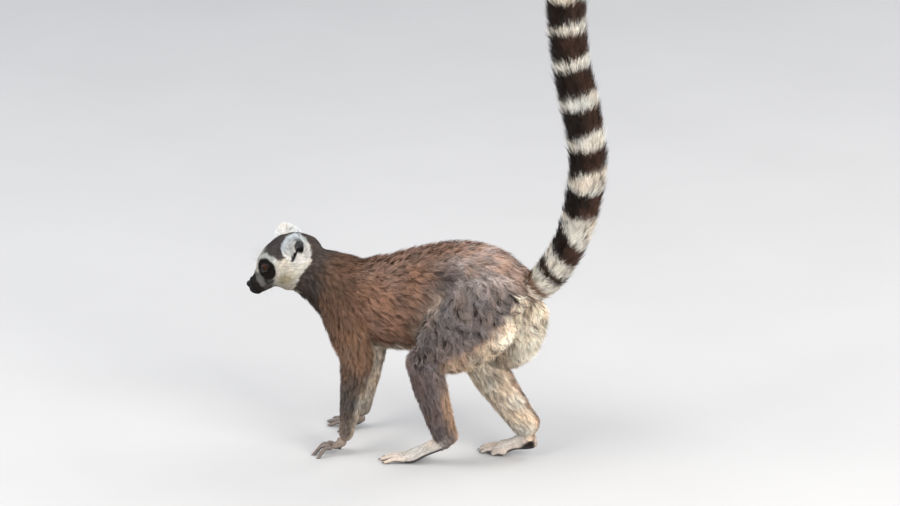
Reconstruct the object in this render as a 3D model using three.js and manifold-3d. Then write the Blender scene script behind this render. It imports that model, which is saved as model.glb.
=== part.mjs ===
// A ring-tailed lemur at life size, standing in mid-stride on all fours with its tail held up.
//
// Units are millimetres, +Z is up and the floor is z = 0. The animal faces -X, so its left side is -Y.
// The origin is on the floor under the middle of the whole figure. Each solid reaches out to the tips of
// the coat. The body is a set of lofts: rings of rounded section carried along a smooth line of stations.
// Every piece is trimmed back from the piece that carries it, so neighbours meet with a hair's clearance.
import * as THREE from "three";
import { mergeVertices } from "three/addons/utils/BufferGeometryUtils.js";
import Module from "manifold-3d";

const wasm = await Module();
wasm.setup();

// ---------------------------------------------------------------- driving dimensions

const GAP = 0.3; // clearance between neighbouring pieces
const FIGURE_MIDDLE = new THREE.Vector3(8, 3, 0); // from the drawing's origin to the box's middle
const LINE_TENSION = 0.5; // of the smooth lines through the stations
const LINE_DIVISIONS = 400; // steps along a line when its length is measured
const LONGEST_CAP = 0.45; // the most of a loft's length that one rounded end may take
const SEAM = 1e-4; // corners closer than this are one

const HEAD = {
  at: new THREE.Vector3(-180, -19, 272), // middle of the skull, between the ears
  turn: 24, // degrees to its own left
  nod: 30, // degrees down
};

// Head stations along its own axis: forward distance, top, bottom, half width, squareness of section.
const HEAD_PROFILE = [
  [-30, -4, -15, 11, 2],
  [-21, 14, -28, 23, 2],
  [-8, 28, -40, 30.5, 2],
  [7, 33.5, -46, 33, 2],
  [20, 34, -46, 33, 2],
  [32, 30.5, -41, 29.5, 2.1],
  [43, 23.5, -33, 23.5, 2.2],
  [52, 16, -28, 19, 2.3],
  [60, 8, -25.5, 15.5, 2.4],
  [68, 3.2, -24.5, 12.4, 2.5],
  [76, 0, -22.5, 9.8, 2.4],
  [82.5, -3.5, -18.5, 6.6, 2.2],
];
const EYE = { forward: 43.2, side: 14.6, up: 9, radius: 8.3 };
const NOSE = { forward: 80.3, up: -6.8, length: 9, half_width: 5.2, half_height: 5.2 };

// Ears, each a leaf that rises from its root toward its tip and opens the way it faces, in the head's
// axes (forward, out to its own side, up). The right ear is held a little more forward and out.
const EARS = {
  left: { root: [5, 22, -4], tip: [-23, 15, 38], faces: [0.15, 1, 0] },
  right: { root: [6, 22, -2], tip: [2, 30, 26], faces: [0.5, 0.7, -0.4] },
};
// Height above the root, half width and half thickness.
const EAR_OUTLINE = [
  [-2, 12, 6],
  [10, 18.5, 8],
  [22, 20.5, 7.5],
  [34, 17.5, 6],
  [43, 11, 4.5],
  [48, 5, 3.2],
];
const EAR_BOWL = { from: 7, to: 40, half_width: 12.5, depth: 7, out: 7 };

// Neck and trunk stations: x, y, top, bottom, half width.
const BARREL_SQUARENESS = 2.15;
const NECK_LINE = [
  [-194, -24, 288, 222, 22],
  [-176, -18, 289, 213, 29],
  [-156, -10, 284, 200, 34],
  [-134, -4, 277, 186, 39],
  [-110, 0, 266, 176, 39],
];
const TRUNK_LINE = [
  [-151, 0, 256, 202, 24],
  [-137, 0, 268, 178, 39],
  [-114, 0, 270, 158, 47],
  [-84, 0, 274, 149, 50],
  [-48, 0, 282, 147, 51],
  [-10, 0, 296, 151, 52],
  [30, 0, 310, 162, 53],
  [66, 0, 318, 178, 54],
  [98, 0, 314, 197, 51],
  [124, 0, 299, 214, 45],
  [146, 0, 281, 230, 34],
  [160, 0, 268, 244, 20],
];
const TRUNK_CUTS = { chest_loin: -42, loin_rump: 52 }; // x of the cuts across the trunk

// Tail line from its root, each [x, y, z, half thickness].
const TAIL_LINE = [
  [130, 0, 252, 21],
  [150, 0, 260, 22],
  [170, 0, 273, 23],
  [191, 0, 298, 24],
  [209, 0, 331, 24],
  [222, 0, 366, 25],
  [231, 0, 406, 26],
  [235.5, 0, 450, 26.5],
  [230, 0, 497, 26.5],
  [218.5, 0, 549, 26.5],
  [208, 0, 604, 26.5],
  [202.5, 0, 662, 27],
  [206, 0, 718, 27],
  [218, 0, 770, 26],
  [233, 0, 816, 24],
];
const TAIL_LENGTHS = 6;

// Limb joints for each side. `fullness` is how full the coat stands on the shank, and `ham` is how far
// the flesh of the thigh hangs behind the bone, which is more on the leg that pushes off.
const FORELEGS = {
  left: { shoulder: [-124, -30, 224], elbow: [-79, -46, 148], wrist: [-97, -48, 29] },
  right: { shoulder: [-126, 30, 224], elbow: [-96, 44, 148], wrist: [-117, 52, 29] },
};
const HINDLEGS = {
  left: { hip: [112, -30, 250], knee: [20, -61, 168], ankle: [46, -39, 50], fullness: 1.04, ham: 1 },
  right: { hip: [112, 30, 250], knee: [44, 59, 139], ankle: [127, 50, 47], fullness: 1.15, ham: 3.2 },
};

// Girths along a limb: from joint, to joint, share of the way, half depth fore and aft, half width,
// and how far the middle of the flesh lies behind the bone.
const FORELEG_GIRTHS = [
  ["shoulder", "elbow", -0.04, 25, 13, 0],
  ["shoulder", "elbow", 0.3, 29, 17, 0],
  ["shoulder", "elbow", 0.66, 31, 18, -1],
  ["shoulder", "elbow", 1, 27.5, 17.5, -3],
  ["elbow", "wrist", 0.2, 23, 16.5, -1],
  ["elbow", "wrist", 0.4, 19.5, 15, 0],
  ["elbow", "wrist", 0.66, 15.5, 13, 0],
  ["elbow", "wrist", 0.87, 12, 11, 0],
  ["elbow", "wrist", 1.06, 9.5, 9.5, 0],
];
const THIGH_GIRTHS = [
  ["hip", "knee", -0.1, 46, 20, 2],
  ["hip", "knee", 0.18, 58, 27, 3],
  ["hip", "knee", 0.5, 55, 29, 8],
  ["hip", "knee", 0.76, 45, 26, 10],
  ["hip", "knee", 1.02, 29, 21, 4],
];
const SHANK_GIRTHS = [
  ["knee", "ankle", -0.1, 21, 16, 0],
  ["knee", "ankle", 0.14, 24.5, 18.5, 0],
  ["knee", "ankle", 0.38, 25.5, 18.5, 0],
  ["knee", "ankle", 0.62, 22.8, 16.5, 0],
  ["knee", "ankle", 0.84, 20.6, 13.5, 0],
  ["knee", "ankle", 1.02, 18.5, 12, 1.5],
  ["knee", "ankle", 1.14, 15, 11, 2],
];

// Hands: where the wrist and palm are, which way the palm heads (degrees to the animal's left), how high
// the knuckles, the bend of the fingers and the middle of their tips stand, and what share of their
// length the fingers reach out.
const HANDS = {
  left: {
    wrist: [-98, -48, 25],
    palm: [-107, -49, 16],
    heading: 12,
    knuckle: 12,
    bend: 13.5,
    tip: -1.2,
    reach: 0.7,
  },
  right: {
    wrist: [-118, 52, 21],
    palm: [-129, 55, 10],
    heading: -13,
    knuckle: 7,
    bend: 7.5,
    tip: 1.2,
    reach: 1,
  },
};
// The palm's sections, each a half width and half depth: at the wrist, over the heel of the hand a share
// of the way on, at its middle, and at the knuckles that far ahead of the middle.
const PALM = {
  wrist: [8.5, 8.5],
  heel: [9.9, 7.8],
  heel_share: 0.6,
  middle: [11, 6.5],
  knuckles: [9.9, 5.2],
  knuckles_ahead: 9.1,
};
const FINGERS = [
  { splay: 62, reach: 25, from: [0.3, 0.75], thick: 3.4 }, // thumb
  { splay: 22, reach: 31, from: [0.85, 0.62], thick: 3.3 },
  { splay: 6, reach: 37, from: [1, 0.22], thick: 3.5 },
  { splay: -10, reach: 39, from: [1, -0.22], thick: 3.5 },
  { splay: -30, reach: 32, from: [0.85, -0.66], thick: 3.3 },
];

// Feet: heel raised, weight on the ball and toes.
const FEET = {
  left: {
    heel: [53, -35, 43],
    ball: [-4, -34, 10],
    heading: 4,
    great_toe: 58,
    reach: 0.96,
    heel_depth: 12,
  },
  right: {
    heel: [143, 51, 30],
    ball: [95, 48, 9.6],
    heading: -5,
    great_toe: 10,
    reach: 0.74,
    heel_depth: 16,
  },
};
// The sole's half widths from heel to front, the shares of the way at which the instep and the fore part
// lie between heel and ball, and how far ahead of the ball and how high the front and the knuckles are.
const SOLE = {
  heel_width: 11,
  instep: { share: 0.33, half_width: 10.5, depth_share: 0.92 },
  fore: { share: 0.7, half_width: 11.6, half_depth: 10 },
  ball: { half_width: 13.5, half_depth: 10.5 },
  front: { ahead: 14, height: 5, half_width: 11.5, half_depth: 6 },
  knuckles: { ahead: 9, height: 6 },
};
const TOES = [
  { splay: 0, reach: 30, from: [0.1, 0.75], thick: 5 }, // great toe, set well back and spread by its own angle
  { splay: 13, reach: 31, from: [0.85, 0.66], thick: 3.7 },
  { splay: 4, reach: 36, from: [1, 0.24], thick: 3.9 },
  { splay: -6, reach: 38, from: [1, -0.22], thick: 3.9 },
  { splay: -16, reach: 33, from: [0.85, -0.68], thick: 3.7 },
];
const TOE_HEIGHTS = { bend: 7, tip: 1.2 }; // middle of a toe and of its tip above the floor

// Sections of a finger or toe, each a share of its thickness wide and high, at its knuckle, its bend, its
// last joint and its tip. The bend is at a share of the reach, and the last joint of what is left.
const DIGIT = {
  knuckle: [1, 1.15],
  bend: [1, 1],
  bend_share: 0.48,
  last_joint: [0.95, 0.9],
  last_joint_share: 0.7,
  tip: [0.8, 0.66],
};
const KNUCKLE_ROW_DEPTH = 1.6; // how far the outer knuckles are set back, in half widths of the row

const COLOURS = {
  grey_coat: 0x766f6b,
  rust_coat: 0x7c6252,
  dark_coat: 0x453c38,
  pale_coat: 0xd9d0c2,
  tail_black: 0x1c1716,
  skin_black: 0x1a1717,
  eye_amber: 0x8a4a18,
};
const ROUGHNESS = { coat: 0.85, eye: 0.15 };

// ---------------------------------------------------------------- lofts

const degrees = THREE.MathUtils.degToRad;
const vector = (a) => new THREE.Vector3(...a);

// One station of a loft: where it is, its half width to the side, its half rise, and its squareness,
// which is 2 for an ellipse and more for a boxier section.
const station = (at, side, rise, square = 2) => ({ at, side, rise, square });

// A smooth line through points.
function smoothLine(points) {
  const line = new THREE.CatmullRomCurve3(points, false, "catmullrom", LINE_TENSION);
  line.arcLengthDivisions = LINE_DIVISIONS;
  return line;
}

// A closed body of rounded rings. `across` is the sideways direction, made square to the line at every
// ring. Both ends close in a quarter-round over a length of `cap` times the end's smaller half size.
// `grow` swells the whole form, to trim a neighbour back by that much.
function loft(
  stations,
  { around = 14, rings = 10, across = [0, -1, 0], cap = 1, capRings = 3, grow = 0 } = {},
) {
  const line = smoothLine(stations.map((s) => s.at));
  const sizes = smoothLine(stations.map((s) => new THREE.Vector3(s.side, s.rise, s.square)));
  const length = line.getLength();
  const capLength = (s) => Math.min(cap * Math.min(s.side, s.rise), length * LONGEST_CAP);
  const [first, last] = [capLength(stations[0]), capLength(stations.at(-1))];
  const steps = [];
  for (let k = 1; k <= capRings; k++) {
    const a = (k / (capRings + 0.5)) * (Math.PI / 2);
    steps.push([first * (1 - Math.cos(a)), Math.sin(a)]);
  }
  for (let k = 0; k <= rings; k++) steps.push([first + ((length - first - last) * k) / rings, 1]);
  for (let k = capRings; k >= 1; k--) {
    const a = (k / (capRings + 0.5)) * (Math.PI / 2);
    steps.push([length - last * (1 - Math.cos(a)), Math.sin(a)]);
  }

  const positions = [];
  for (const [distance, share] of steps) {
    const t = line.getUtoTmapping(distance / length);
    const middle = line.getPoint(t);
    const along = line.getTangent(t);
    const side = vector(across).addScaledVector(along, -vector(across).dot(along)).normalize();
    const rise = new THREE.Vector3().crossVectors(along, side);
    const size = sizes.getPoint(t);
    for (let j = 0; j < around; j++) {
      const a = (2 * Math.PI * j) / around;
      const power = 2 / size.z;
      const u = Math.sign(Math.cos(a)) * Math.abs(Math.cos(a)) ** power * (size.x * share + grow);
      const v = Math.sign(Math.sin(a)) * Math.abs(Math.sin(a)) ** power * (size.y * share + grow);
      const p = middle.clone().addScaledVector(side, u).addScaledVector(rise, v);
      positions.push(p.x, p.y, p.z);
    }
  }
  const start = line.getPoint(0).addScaledVector(line.getTangent(0), -grow);
  const end = line.getPoint(1).addScaledVector(line.getTangent(1), grow);
  positions.push(...start.toArray(), ...end.toArray());

  const faces = [];
  const startPole = steps.length * around;
  for (let j = 0; j < around; j++) {
    const next = (j + 1) % around;
    faces.push(startPole, next, j);
    for (let i = 0; i + 1 < steps.length; i++) {
      const [a, b, c, d] = [i * around + j, i * around + next, (i + 1) * around + next, (i + 1) * around + j];
      faces.push(a, b, c, a, c, d);
    }
    const rim = (steps.length - 1) * around;
    faces.push(startPole + 1, rim + j, rim + next);
  }
  return new THREE.BufferGeometry()
    .setAttribute("position", new THREE.Float32BufferAttribute(positions, 3))
    .setIndex(faces);
}

// A closed three.js geometry as a solid that can be joined and cut.
function solid(geometry) {
  const bare = geometry.clone();
  bare.deleteAttribute("normal");
  bare.deleteAttribute("uv");
  const merged = mergeVertices(bare, SEAM);
  const made = new wasm.Manifold(
    new wasm.Mesh({
      numProp: 3,
      vertProperties: new Float32Array(merged.attributes.position.array),
      triVerts: new Uint32Array(merged.index.array),
    }),
  );
  if (made.volume() < 0) throw new Error("a form is inside out");
  return made;
}

// The biggest of the bodies that a cut leaves.
const biggest = (form) => form.decompose().reduce((a, b) => (b.volume() > a.volume() ? b : a));

// The form with every carrier taken away, in one body.
const trimmed = (form, ...carriers) => biggest(carriers.reduce((left, c) => left.subtract(c), form));

// The part of a form between two planes square to `normal`, each end held back by half the clearance.
function between(form, normal, low, high) {
  let kept = form;
  if (low !== null) kept = kept.trimByPlane(normal, low + GAP / 2);
  if (high !== null) kept = kept.trimByPlane(normal.map((n) => -n), -(high - GAP / 2));
  return biggest(kept);
}

// The form cut flat where it meets the floor.
const onFloor = (form) => biggest(form.trimByPlane([0, 0, 1], 0));

// ---------------------------------------------------------------- head

// From the head's own axes (forward, side to its left, up) to the figure's.
function headMatrix() {
  const [turn, nod] = [degrees(HEAD.turn), degrees(HEAD.nod)];
  const level = new THREE.Vector3(-Math.cos(turn), -Math.sin(turn), 0);
  const left = new THREE.Vector3(Math.sin(turn), -Math.cos(turn), 0);
  const forward = level.clone().multiplyScalar(Math.cos(nod)).setZ(-Math.sin(nod));
  const up = level.clone().multiplyScalar(Math.sin(nod)).setZ(Math.cos(nod));
  return new THREE.Matrix4().makeBasis(forward, left, up).setPosition(HEAD.at);
}

const headForm = (grow = 0) =>
  solid(
    loft(
      HEAD_PROFILE.map(([forward, top, bottom, half, square]) =>
        station(new THREE.Vector3(forward, 0, (top + bottom) / 2), half, (top - bottom) / 2, square),
      ),
      { around: 17, rings: 13, across: [0, 1, 0], grow },
    ).applyMatrix4(headMatrix()),
  );

function eyeForm(side, grow = 0) {
  const ball = new THREE.SphereGeometry(EYE.radius + grow, 11, 7);
  ball.translate(EYE.forward, side * EYE.side, EYE.up).applyMatrix4(headMatrix());
  return solid(ball);
}

function noseForm(grow = 0) {
  const pad = new THREE.SphereGeometry(1, 10, 7);
  pad.scale(NOSE.length / 2 + grow, NOSE.half_width + grow, NOSE.half_height + grow);
  pad.translate(NOSE.forward, 0, NOSE.up).applyMatrix4(headMatrix());
  return solid(pad);
}

// From an ear's own axes (the way it opens, across it, root to tip) to the figure's.
function earMatrix(name, side) {
  const [root, tip, faces] = ["root", "tip", "faces"].map((key) => {
    const [forward, out, up] = EARS[name][key];
    return new THREE.Vector3(forward, side * out, up);
  });
  const rise = tip.normalize();
  const face = faces.addScaledVector(rise, -faces.dot(rise)).normalize();
  const place = new THREE.Matrix4().makeBasis(face, new THREE.Vector3().crossVectors(rise, face), rise);
  return headMatrix().multiply(place.setPosition(root));
}

// An ear: a leaf-shaped body with a bowl scooped out of the face that listens.
function earForm(name, side) {
  const world = earMatrix(name, side);
  const leaf = loft(
    EAR_OUTLINE.map(([height, half, thick]) => station(new THREE.Vector3(0, 0, height), half, thick)),
    { around: 10, rings: 6, across: [0, 1, 0], capRings: 2 },
  );
  const { from, to, half_width, depth, out } = EAR_BOWL;
  const scoop = new THREE.SphereGeometry(1, 9, 6);
  scoop.scale(depth, half_width, (to - from) / 2).translate(out, 0, (to + from) / 2);
  return solid(leaf.applyMatrix4(world)).subtract(solid(scoop.applyMatrix4(world)));
}

// ---------------------------------------------------------------- neck, trunk and tail

const barrel = ([x, y, top, bottom, half]) =>
  station(new THREE.Vector3(x, y, (top + bottom) / 2), half, (top - bottom) / 2, BARREL_SQUARENESS);

const neckForm = (grow = 0) =>
  solid(loft(NECK_LINE.map(barrel), { around: 12, rings: 4, grow, cap: 0.5, capRings: 1 }));
const trunkForm = (grow = 0) =>
  solid(loft(TRUNK_LINE.map(barrel), { around: 16, rings: 12, grow, capRings: 2 }));

const tailForm = (grow = 0) =>
  solid(
    loft(
      TAIL_LINE.map(([x, y, z, half]) => station(new THREE.Vector3(x, y, z), half, half)),
      { around: 11, rings: 22, grow },
    ),
  );

// The tail cut square to its own line into near-equal lengths, root first.
function tailLengths(form) {
  const line = smoothLine(TAIL_LINE.map(([x, y, z]) => new THREE.Vector3(x, y, z)));
  const cuts = [];
  for (let k = 1; k < TAIL_LENGTHS; k++) {
    const normal = line.getTangentAt(k / TAIL_LENGTHS);
    cuts.push({ normal: normal.toArray(), at: normal.dot(line.getPointAt(k / TAIL_LENGTHS)) });
  }
  const lengths = [];
  let rest = form;
  for (const { normal, at } of cuts) {
    lengths.push(between(rest, normal, null, at));
    rest = between(rest, normal, at, null);
  }
  return [...lengths, rest];
}

// ---------------------------------------------------------------- limbs

// Stations of a limb, from the joints' places and the girths between them.
const limbStations = (joints, girths) =>
  girths.map(([from, to, share, deep, wide, back]) => {
    const at = vector(joints[from]).lerp(vector(joints[to]), share);
    const full = joints.fullness ?? 1;
    return station(at.setX(at.x + back * (joints.ham ?? 1)), wide * full, deep * full);
  });

const foreleg = (side, grow = 0) =>
  solid(loft(limbStations(FORELEGS[side], FORELEG_GIRTHS), { around: 11, rings: 9, grow, capRings: 1 }));

function thigh(side, grow = 0) {
  const stations = limbStations({ ...HINDLEGS[side], fullness: 1 }, THIGH_GIRTHS);
  return solid(loft(stations, { around: 13, rings: 7, grow, capRings: 2 }));
}

function shank(side, grow = 0) {
  const stations = limbStations({ ...HINDLEGS[side], ham: 1 }, SHANK_GIRTHS);
  return solid(loft(stations, { around: 10, rings: 7, grow, capRings: 2 }));
}

// A foreleg parted square across the elbow: the upper arm above and the forearm below.
function forelegPieces(side) {
  const joints = FORELEGS[side];
  const down = vector(joints.wrist).sub(vector(joints.shoulder)).normalize();
  const at = down.dot(vector(joints.elbow));
  const whole = foreleg(side);
  return {
    upper: between(whole, down.toArray(), null, at),
    fore: between(whole, down.toArray(), at, null),
  };
}

// One finger or toe from its knuckle, over its bend and down to its tip.
function digit(knuckle, heading, heights, { splay, reach, thick }, inner, grow) {
  const way = degrees(heading + inner * splay);
  const ahead = new THREE.Vector3(-Math.cos(way), -Math.sin(way), 0);
  const across = [Math.sin(way), -Math.cos(way), 0];
  const tip = knuckle.clone().addScaledVector(ahead, reach).setZ(heights.tip);
  const bend = knuckle.clone().addScaledVector(ahead, reach * DIGIT.bend_share).setZ(heights.bend);
  const section = (at, [wide, high]) => station(at, thick * wide, thick * high);
  const stations = [
    section(knuckle, DIGIT.knuckle),
    section(bend, DIGIT.bend),
    section(bend.clone().lerp(tip, DIGIT.last_joint_share), DIGIT.last_joint),
    section(tip, DIGIT.tip),
  ];
  return solid(loft(stations, { around: 6, rings: 2, across, capRings: 1, grow }));
}

// A palm or sole with its five digits, cut flat at the floor. The knuckles stand in a row `halfWidth` to
// each side. `inner` is -1 for a left limb and +1 for a right one.
function paw(pad, knuckles, heading, heights, digits, halfWidth, inner, grow) {
  const way = degrees(heading);
  const ahead = new THREE.Vector3(-Math.cos(way), -Math.sin(way), 0);
  const toLeft = new THREE.Vector3(Math.sin(way), -Math.cos(way), 0);
  let whole = pad;
  for (const d of digits) {
    const knuckle = knuckles
      .clone()
      .addScaledVector(ahead, (d.from[0] - 1) * halfWidth * KNUCKLE_ROW_DEPTH)
      .addScaledVector(toLeft, inner * d.from[1] * halfWidth);
    whole = whole.add(digit(knuckle, heading, heights, d, inner, grow));
  }
  return onFloor(whole);
}

const innerSign = (side) => (side === "left" ? -1 : 1);

function handForm(side, grow = 0) {
  const { wrist, palm, heading, knuckle, bend, tip, reach } = HANDS[side];
  const way = degrees(heading);
  const ahead = new THREE.Vector3(-Math.cos(way), -Math.sin(way), 0);
  const across = [Math.sin(way), -Math.cos(way), 0];
  const middle = vector(palm);
  const knuckles = middle.clone().addScaledVector(ahead, PALM.knuckles_ahead).setZ(knuckle);
  const pad = solid(
    loft(
      [
        station(vector(wrist), ...PALM.wrist),
        station(vector(wrist).lerp(middle, PALM.heel_share), ...PALM.heel),
        station(middle, ...PALM.middle),
        station(knuckles, ...PALM.knuckles),
      ],
      { around: 8, rings: 3, across, cap: 0.8, capRings: 1, grow },
    ),
  );
  const fingers = FINGERS.map((d) => ({ ...d, reach: d.reach * reach }));
  return paw(pad, knuckles, heading, { bend, tip }, fingers, PALM.middle[0], innerSign(side), grow);
}

function footForm(side, grow = 0) {
  const { heel, ball, heading, great_toe, reach, heel_depth } = FEET[side];
  const way = degrees(heading);
  const ahead = new THREE.Vector3(-Math.cos(way), -Math.sin(way), 0);
  const across = [Math.sin(way), -Math.cos(way), 0];
  const [back, middle] = [vector(heel), vector(ball)];
  const { instep, fore, front, knuckles } = SOLE;
  const pad = solid(
    loft(
      [
        station(back, SOLE.heel_width, heel_depth),
        station(back.clone().lerp(middle, instep.share), instep.half_width, heel_depth * instep.depth_share),
        station(back.clone().lerp(middle, fore.share), fore.half_width, fore.half_depth),
        station(middle, SOLE.ball.half_width, SOLE.ball.half_depth),
        station(
          middle.clone().addScaledVector(ahead, front.ahead).setZ(front.height),
          front.half_width,
          front.half_depth,
        ),
      ],
      { around: 9, rings: 4, across, cap: 0.8, capRings: 1, grow },
    ),
  );
  const row = middle.clone().addScaledVector(ahead, knuckles.ahead).setZ(knuckles.height);
  const toes = TOES.map((d, k) => ({ ...d, reach: d.reach * reach, splay: k ? d.splay : great_toe }));
  return paw(pad, row, heading, TOE_HEIGHTS, toes, SOLE.ball.half_width, innerSign(side), grow);
}

// ---------------------------------------------------------------- the figure

const figure = new THREE.Group();
figure.name = "ring_tailed_lemur";

const materials = Object.fromEntries(
  Object.entries(COLOURS).map(([name, color]) => [
    name,
    new THREE.MeshStandardMaterial({
      color,
      roughness: name === "eye_amber" ? ROUGHNESS.eye : ROUGHNESS.coat,
      metalness: 0,
    }),
  ]),
);

// Adds a finished solid to the figure as a named mesh.
function add(name, form, material) {
  const { vertProperties, triVerts, numProp } = form.getMesh();
  const positions = new Float32Array((vertProperties.length / numProp) * 3);
  for (let i = 0; i < positions.length / 3; i++) {
    positions.set(vertProperties.subarray(i * numProp, i * numProp + 3), i * 3);
  }
  const geometry = new THREE.BufferGeometry()
    .setAttribute("position", new THREE.BufferAttribute(positions, 3))
    .setIndex(new THREE.BufferAttribute(triVerts, 1));
  geometry.computeVertexNormals();
  geometry.translate(-FIGURE_MIDDLE.x, -FIGURE_MIDDLE.y, -FIGURE_MIDDLE.z);
  const mesh = new THREE.Mesh(geometry, materials[material]);
  mesh.name = name;
  figure.add(mesh);
}

const grownHead = headForm(GAP);
const grownTrunk = trunkForm(GAP);
const grownNeck = neckForm(GAP);

const eyeSockets = [eyeForm(1, GAP), eyeForm(-1, GAP)];
add("head", trimmed(headForm(), ...eyeSockets, noseForm(GAP)), "dark_coat");
add("nose", noseForm(), "skin_black");
for (const [side, sign] of [["left", 1], ["right", -1]]) {
  add(`${side}_eye`, eyeForm(sign), "eye_amber");
  add(`${side}_ear`, trimmed(earForm(side, sign), grownHead, grownNeck), "pale_coat");
}

add("neck", trimmed(neckForm(), grownHead, grownTrunk), "dark_coat");
const trunk = trunkForm();
const { chest_loin, loin_rump } = TRUNK_CUTS;
add("chest", between(trunk, [1, 0, 0], null, chest_loin), "rust_coat");
add("loin", between(trunk, [1, 0, 0], chest_loin, loin_rump), "rust_coat");
add("rump", between(trunk, [1, 0, 0], loin_rump, null), "grey_coat");
tailLengths(trimmed(tailForm(), grownTrunk)).forEach((form, k) => {
  add(`tail_${k + 1}`, form, k % 2 ? "pale_coat" : "tail_black");
});

for (const side of ["left", "right"]) {
  const grownForeleg = foreleg(side, GAP);
  const { upper, fore } = forelegPieces(side);
  add(`${side}_upper_arm`, trimmed(upper, grownTrunk, grownNeck), "rust_coat");
  add(`${side}_forearm`, fore, "grey_coat");
  add(`${side}_hand`, trimmed(handForm(side), grownForeleg), "pale_coat");

  const grownThigh = thigh(side, GAP);
  const grownShank = shank(side, GAP);
  add(`${side}_thigh`, trimmed(thigh(side), grownTrunk), "grey_coat");
  add(`${side}_shank`, trimmed(shank(side), grownThigh, grownTrunk), "grey_coat");
  add(`${side}_foot`, trimmed(footForm(side), grownShank), "pale_coat");
}

export default figure;
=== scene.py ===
"""Looks of a life-size ring-tailed lemur model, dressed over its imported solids.

Everything is worked out in the drawing's own frame, in millimetres: +Z up, the animal faces -X and its
left side is -Y. `to_frame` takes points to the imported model's frame in metres just before a mesh is made.
The flesh is one skin, remeshed from lofts that lie inside the solids by the depth of the coat. The coat is
made of many thin tapered tufts that stand on the skin. Skin and coat take their colours from one set of
markings, worked out from where a point is on the animal.
"""

from __future__ import annotations

import logging
import math
from dataclasses import dataclass
from enum import Enum
from typing import ClassVar

import bmesh
import bpy
import numpy as np
from mathutils import Matrix, Vector

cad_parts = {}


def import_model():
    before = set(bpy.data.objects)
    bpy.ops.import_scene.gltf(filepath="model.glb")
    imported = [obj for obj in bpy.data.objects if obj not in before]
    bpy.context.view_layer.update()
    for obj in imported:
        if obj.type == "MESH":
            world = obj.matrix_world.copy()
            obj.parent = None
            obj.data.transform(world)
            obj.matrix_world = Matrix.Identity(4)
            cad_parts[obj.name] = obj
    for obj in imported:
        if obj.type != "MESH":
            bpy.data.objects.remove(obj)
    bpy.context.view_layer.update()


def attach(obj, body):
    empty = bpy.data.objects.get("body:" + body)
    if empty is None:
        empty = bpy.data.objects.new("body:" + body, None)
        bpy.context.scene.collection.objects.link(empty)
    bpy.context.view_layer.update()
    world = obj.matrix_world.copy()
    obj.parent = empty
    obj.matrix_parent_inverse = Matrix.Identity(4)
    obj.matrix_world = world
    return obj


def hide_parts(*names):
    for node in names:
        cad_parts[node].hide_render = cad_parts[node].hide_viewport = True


Array = np.ndarray
Mesh, Object, Material, Node = bpy.types.Mesh, bpy.types.Object, bpy.types.Material, bpy.types.Node
Rows = tuple[tuple[float, ...], ...]
Triple = tuple[float, float, float]

LOG = logging.getLogger("lemur")
MM = 0.001
FIGURE_MIDDLE = np.array([8.0, 3.0, 0.0])
SEED = 20417
DOWN = np.array([0.0, 0.0, -1.0])


# ---------------- small helpers


def to_frame(points: Array) -> Array:
    """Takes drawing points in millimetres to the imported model's frame in metres."""
    return (points - FIGURE_MIDDLE) * MM


def unit(vectors: Array) -> Array:
    """Scales each row to length one."""
    return vectors / np.maximum(np.linalg.norm(vectors, axis=-1, keepdims=True), 1e-9)


def dot(a: Array, b: Array) -> Array:
    """The row by row scalar product."""
    return (a * b).sum(-1)


def ease(value: Array, low: float, high: float) -> Array:
    """A smooth step from 0 at `low` to 1 at `high`; `low` may be the larger."""
    x = np.clip((value - low) / (high - low), 0.0, 1.0)
    return x * x * (3.0 - 2.0 * x)


def mix(a: Array, b: Array, share: Array) -> Array:
    """Blends colours or vectors: `a` where share is 0 and `b` where it is 1."""
    return a + (b - a) * np.asarray(share)[..., None]


def hill(off: Array, width: float) -> Array:
    """A rounded ridge: 1 where `off` is 0, and e to the minus 1 at `width` from there."""
    return np.exp(-((off / width) ** 2))


def bump(points: Array, centre: Triple, radii: Triple) -> Array:
    """A rounded hill: e to the minus squared distance from `centre`, measured in `radii`."""
    return np.exp(-(((points - np.array(centre)) / np.array(radii)) ** 2).sum(-1))


def moved(points: Array, place: Array | None) -> Array:
    """Carries points by a 4 x 4 placement, if there is one."""
    return points if place is None else points @ place[:3, :3].T + place[:3, 3]


def unmoved(points: Array, place: Array | None) -> Array:
    """The reverse of `moved`."""
    return points if place is None else (points - place[:3, 3]) @ place[:3, :3]


@dataclass
class Cloud:
    """Smooth random values through space, from a seeded lattice that repeats."""

    seed: int

    SIDE = 32

    def __post_init__(self) -> None:
        """Fills the lattice."""
        self.lattice = np.random.default_rng(self.seed).uniform(-1.0, 1.0, (self.SIDE,) * 3)

    def at(self, points: Array, scale: float) -> Array:
        """The value at each point: the eight lattice corners round it, blended by smooth steps.

        Args:
            points: where, in millimetres.
            scale: distance between lattice corners.

        Returns:
            One number from -1 to 1 for each point.
        """
        place = points / scale
        corner = np.floor(place).astype(int)
        w = place - corner
        w = w * w * (3.0 - 2.0 * w)
        total = np.zeros(len(points))
        for dx in (0, 1):
            for dy in (0, 1):
                for dz in (0, 1):
                    share = (
                        (w[:, 0] if dx else 1 - w[:, 0])
                        * (w[:, 1] if dy else 1 - w[:, 1])
                        * (w[:, 2] if dz else 1 - w[:, 2])
                    )
                    i, j, k = ((corner + (dx, dy, dz)) % self.SIDE).T
                    total += share * self.lattice[i, j, k]
        return total


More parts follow.
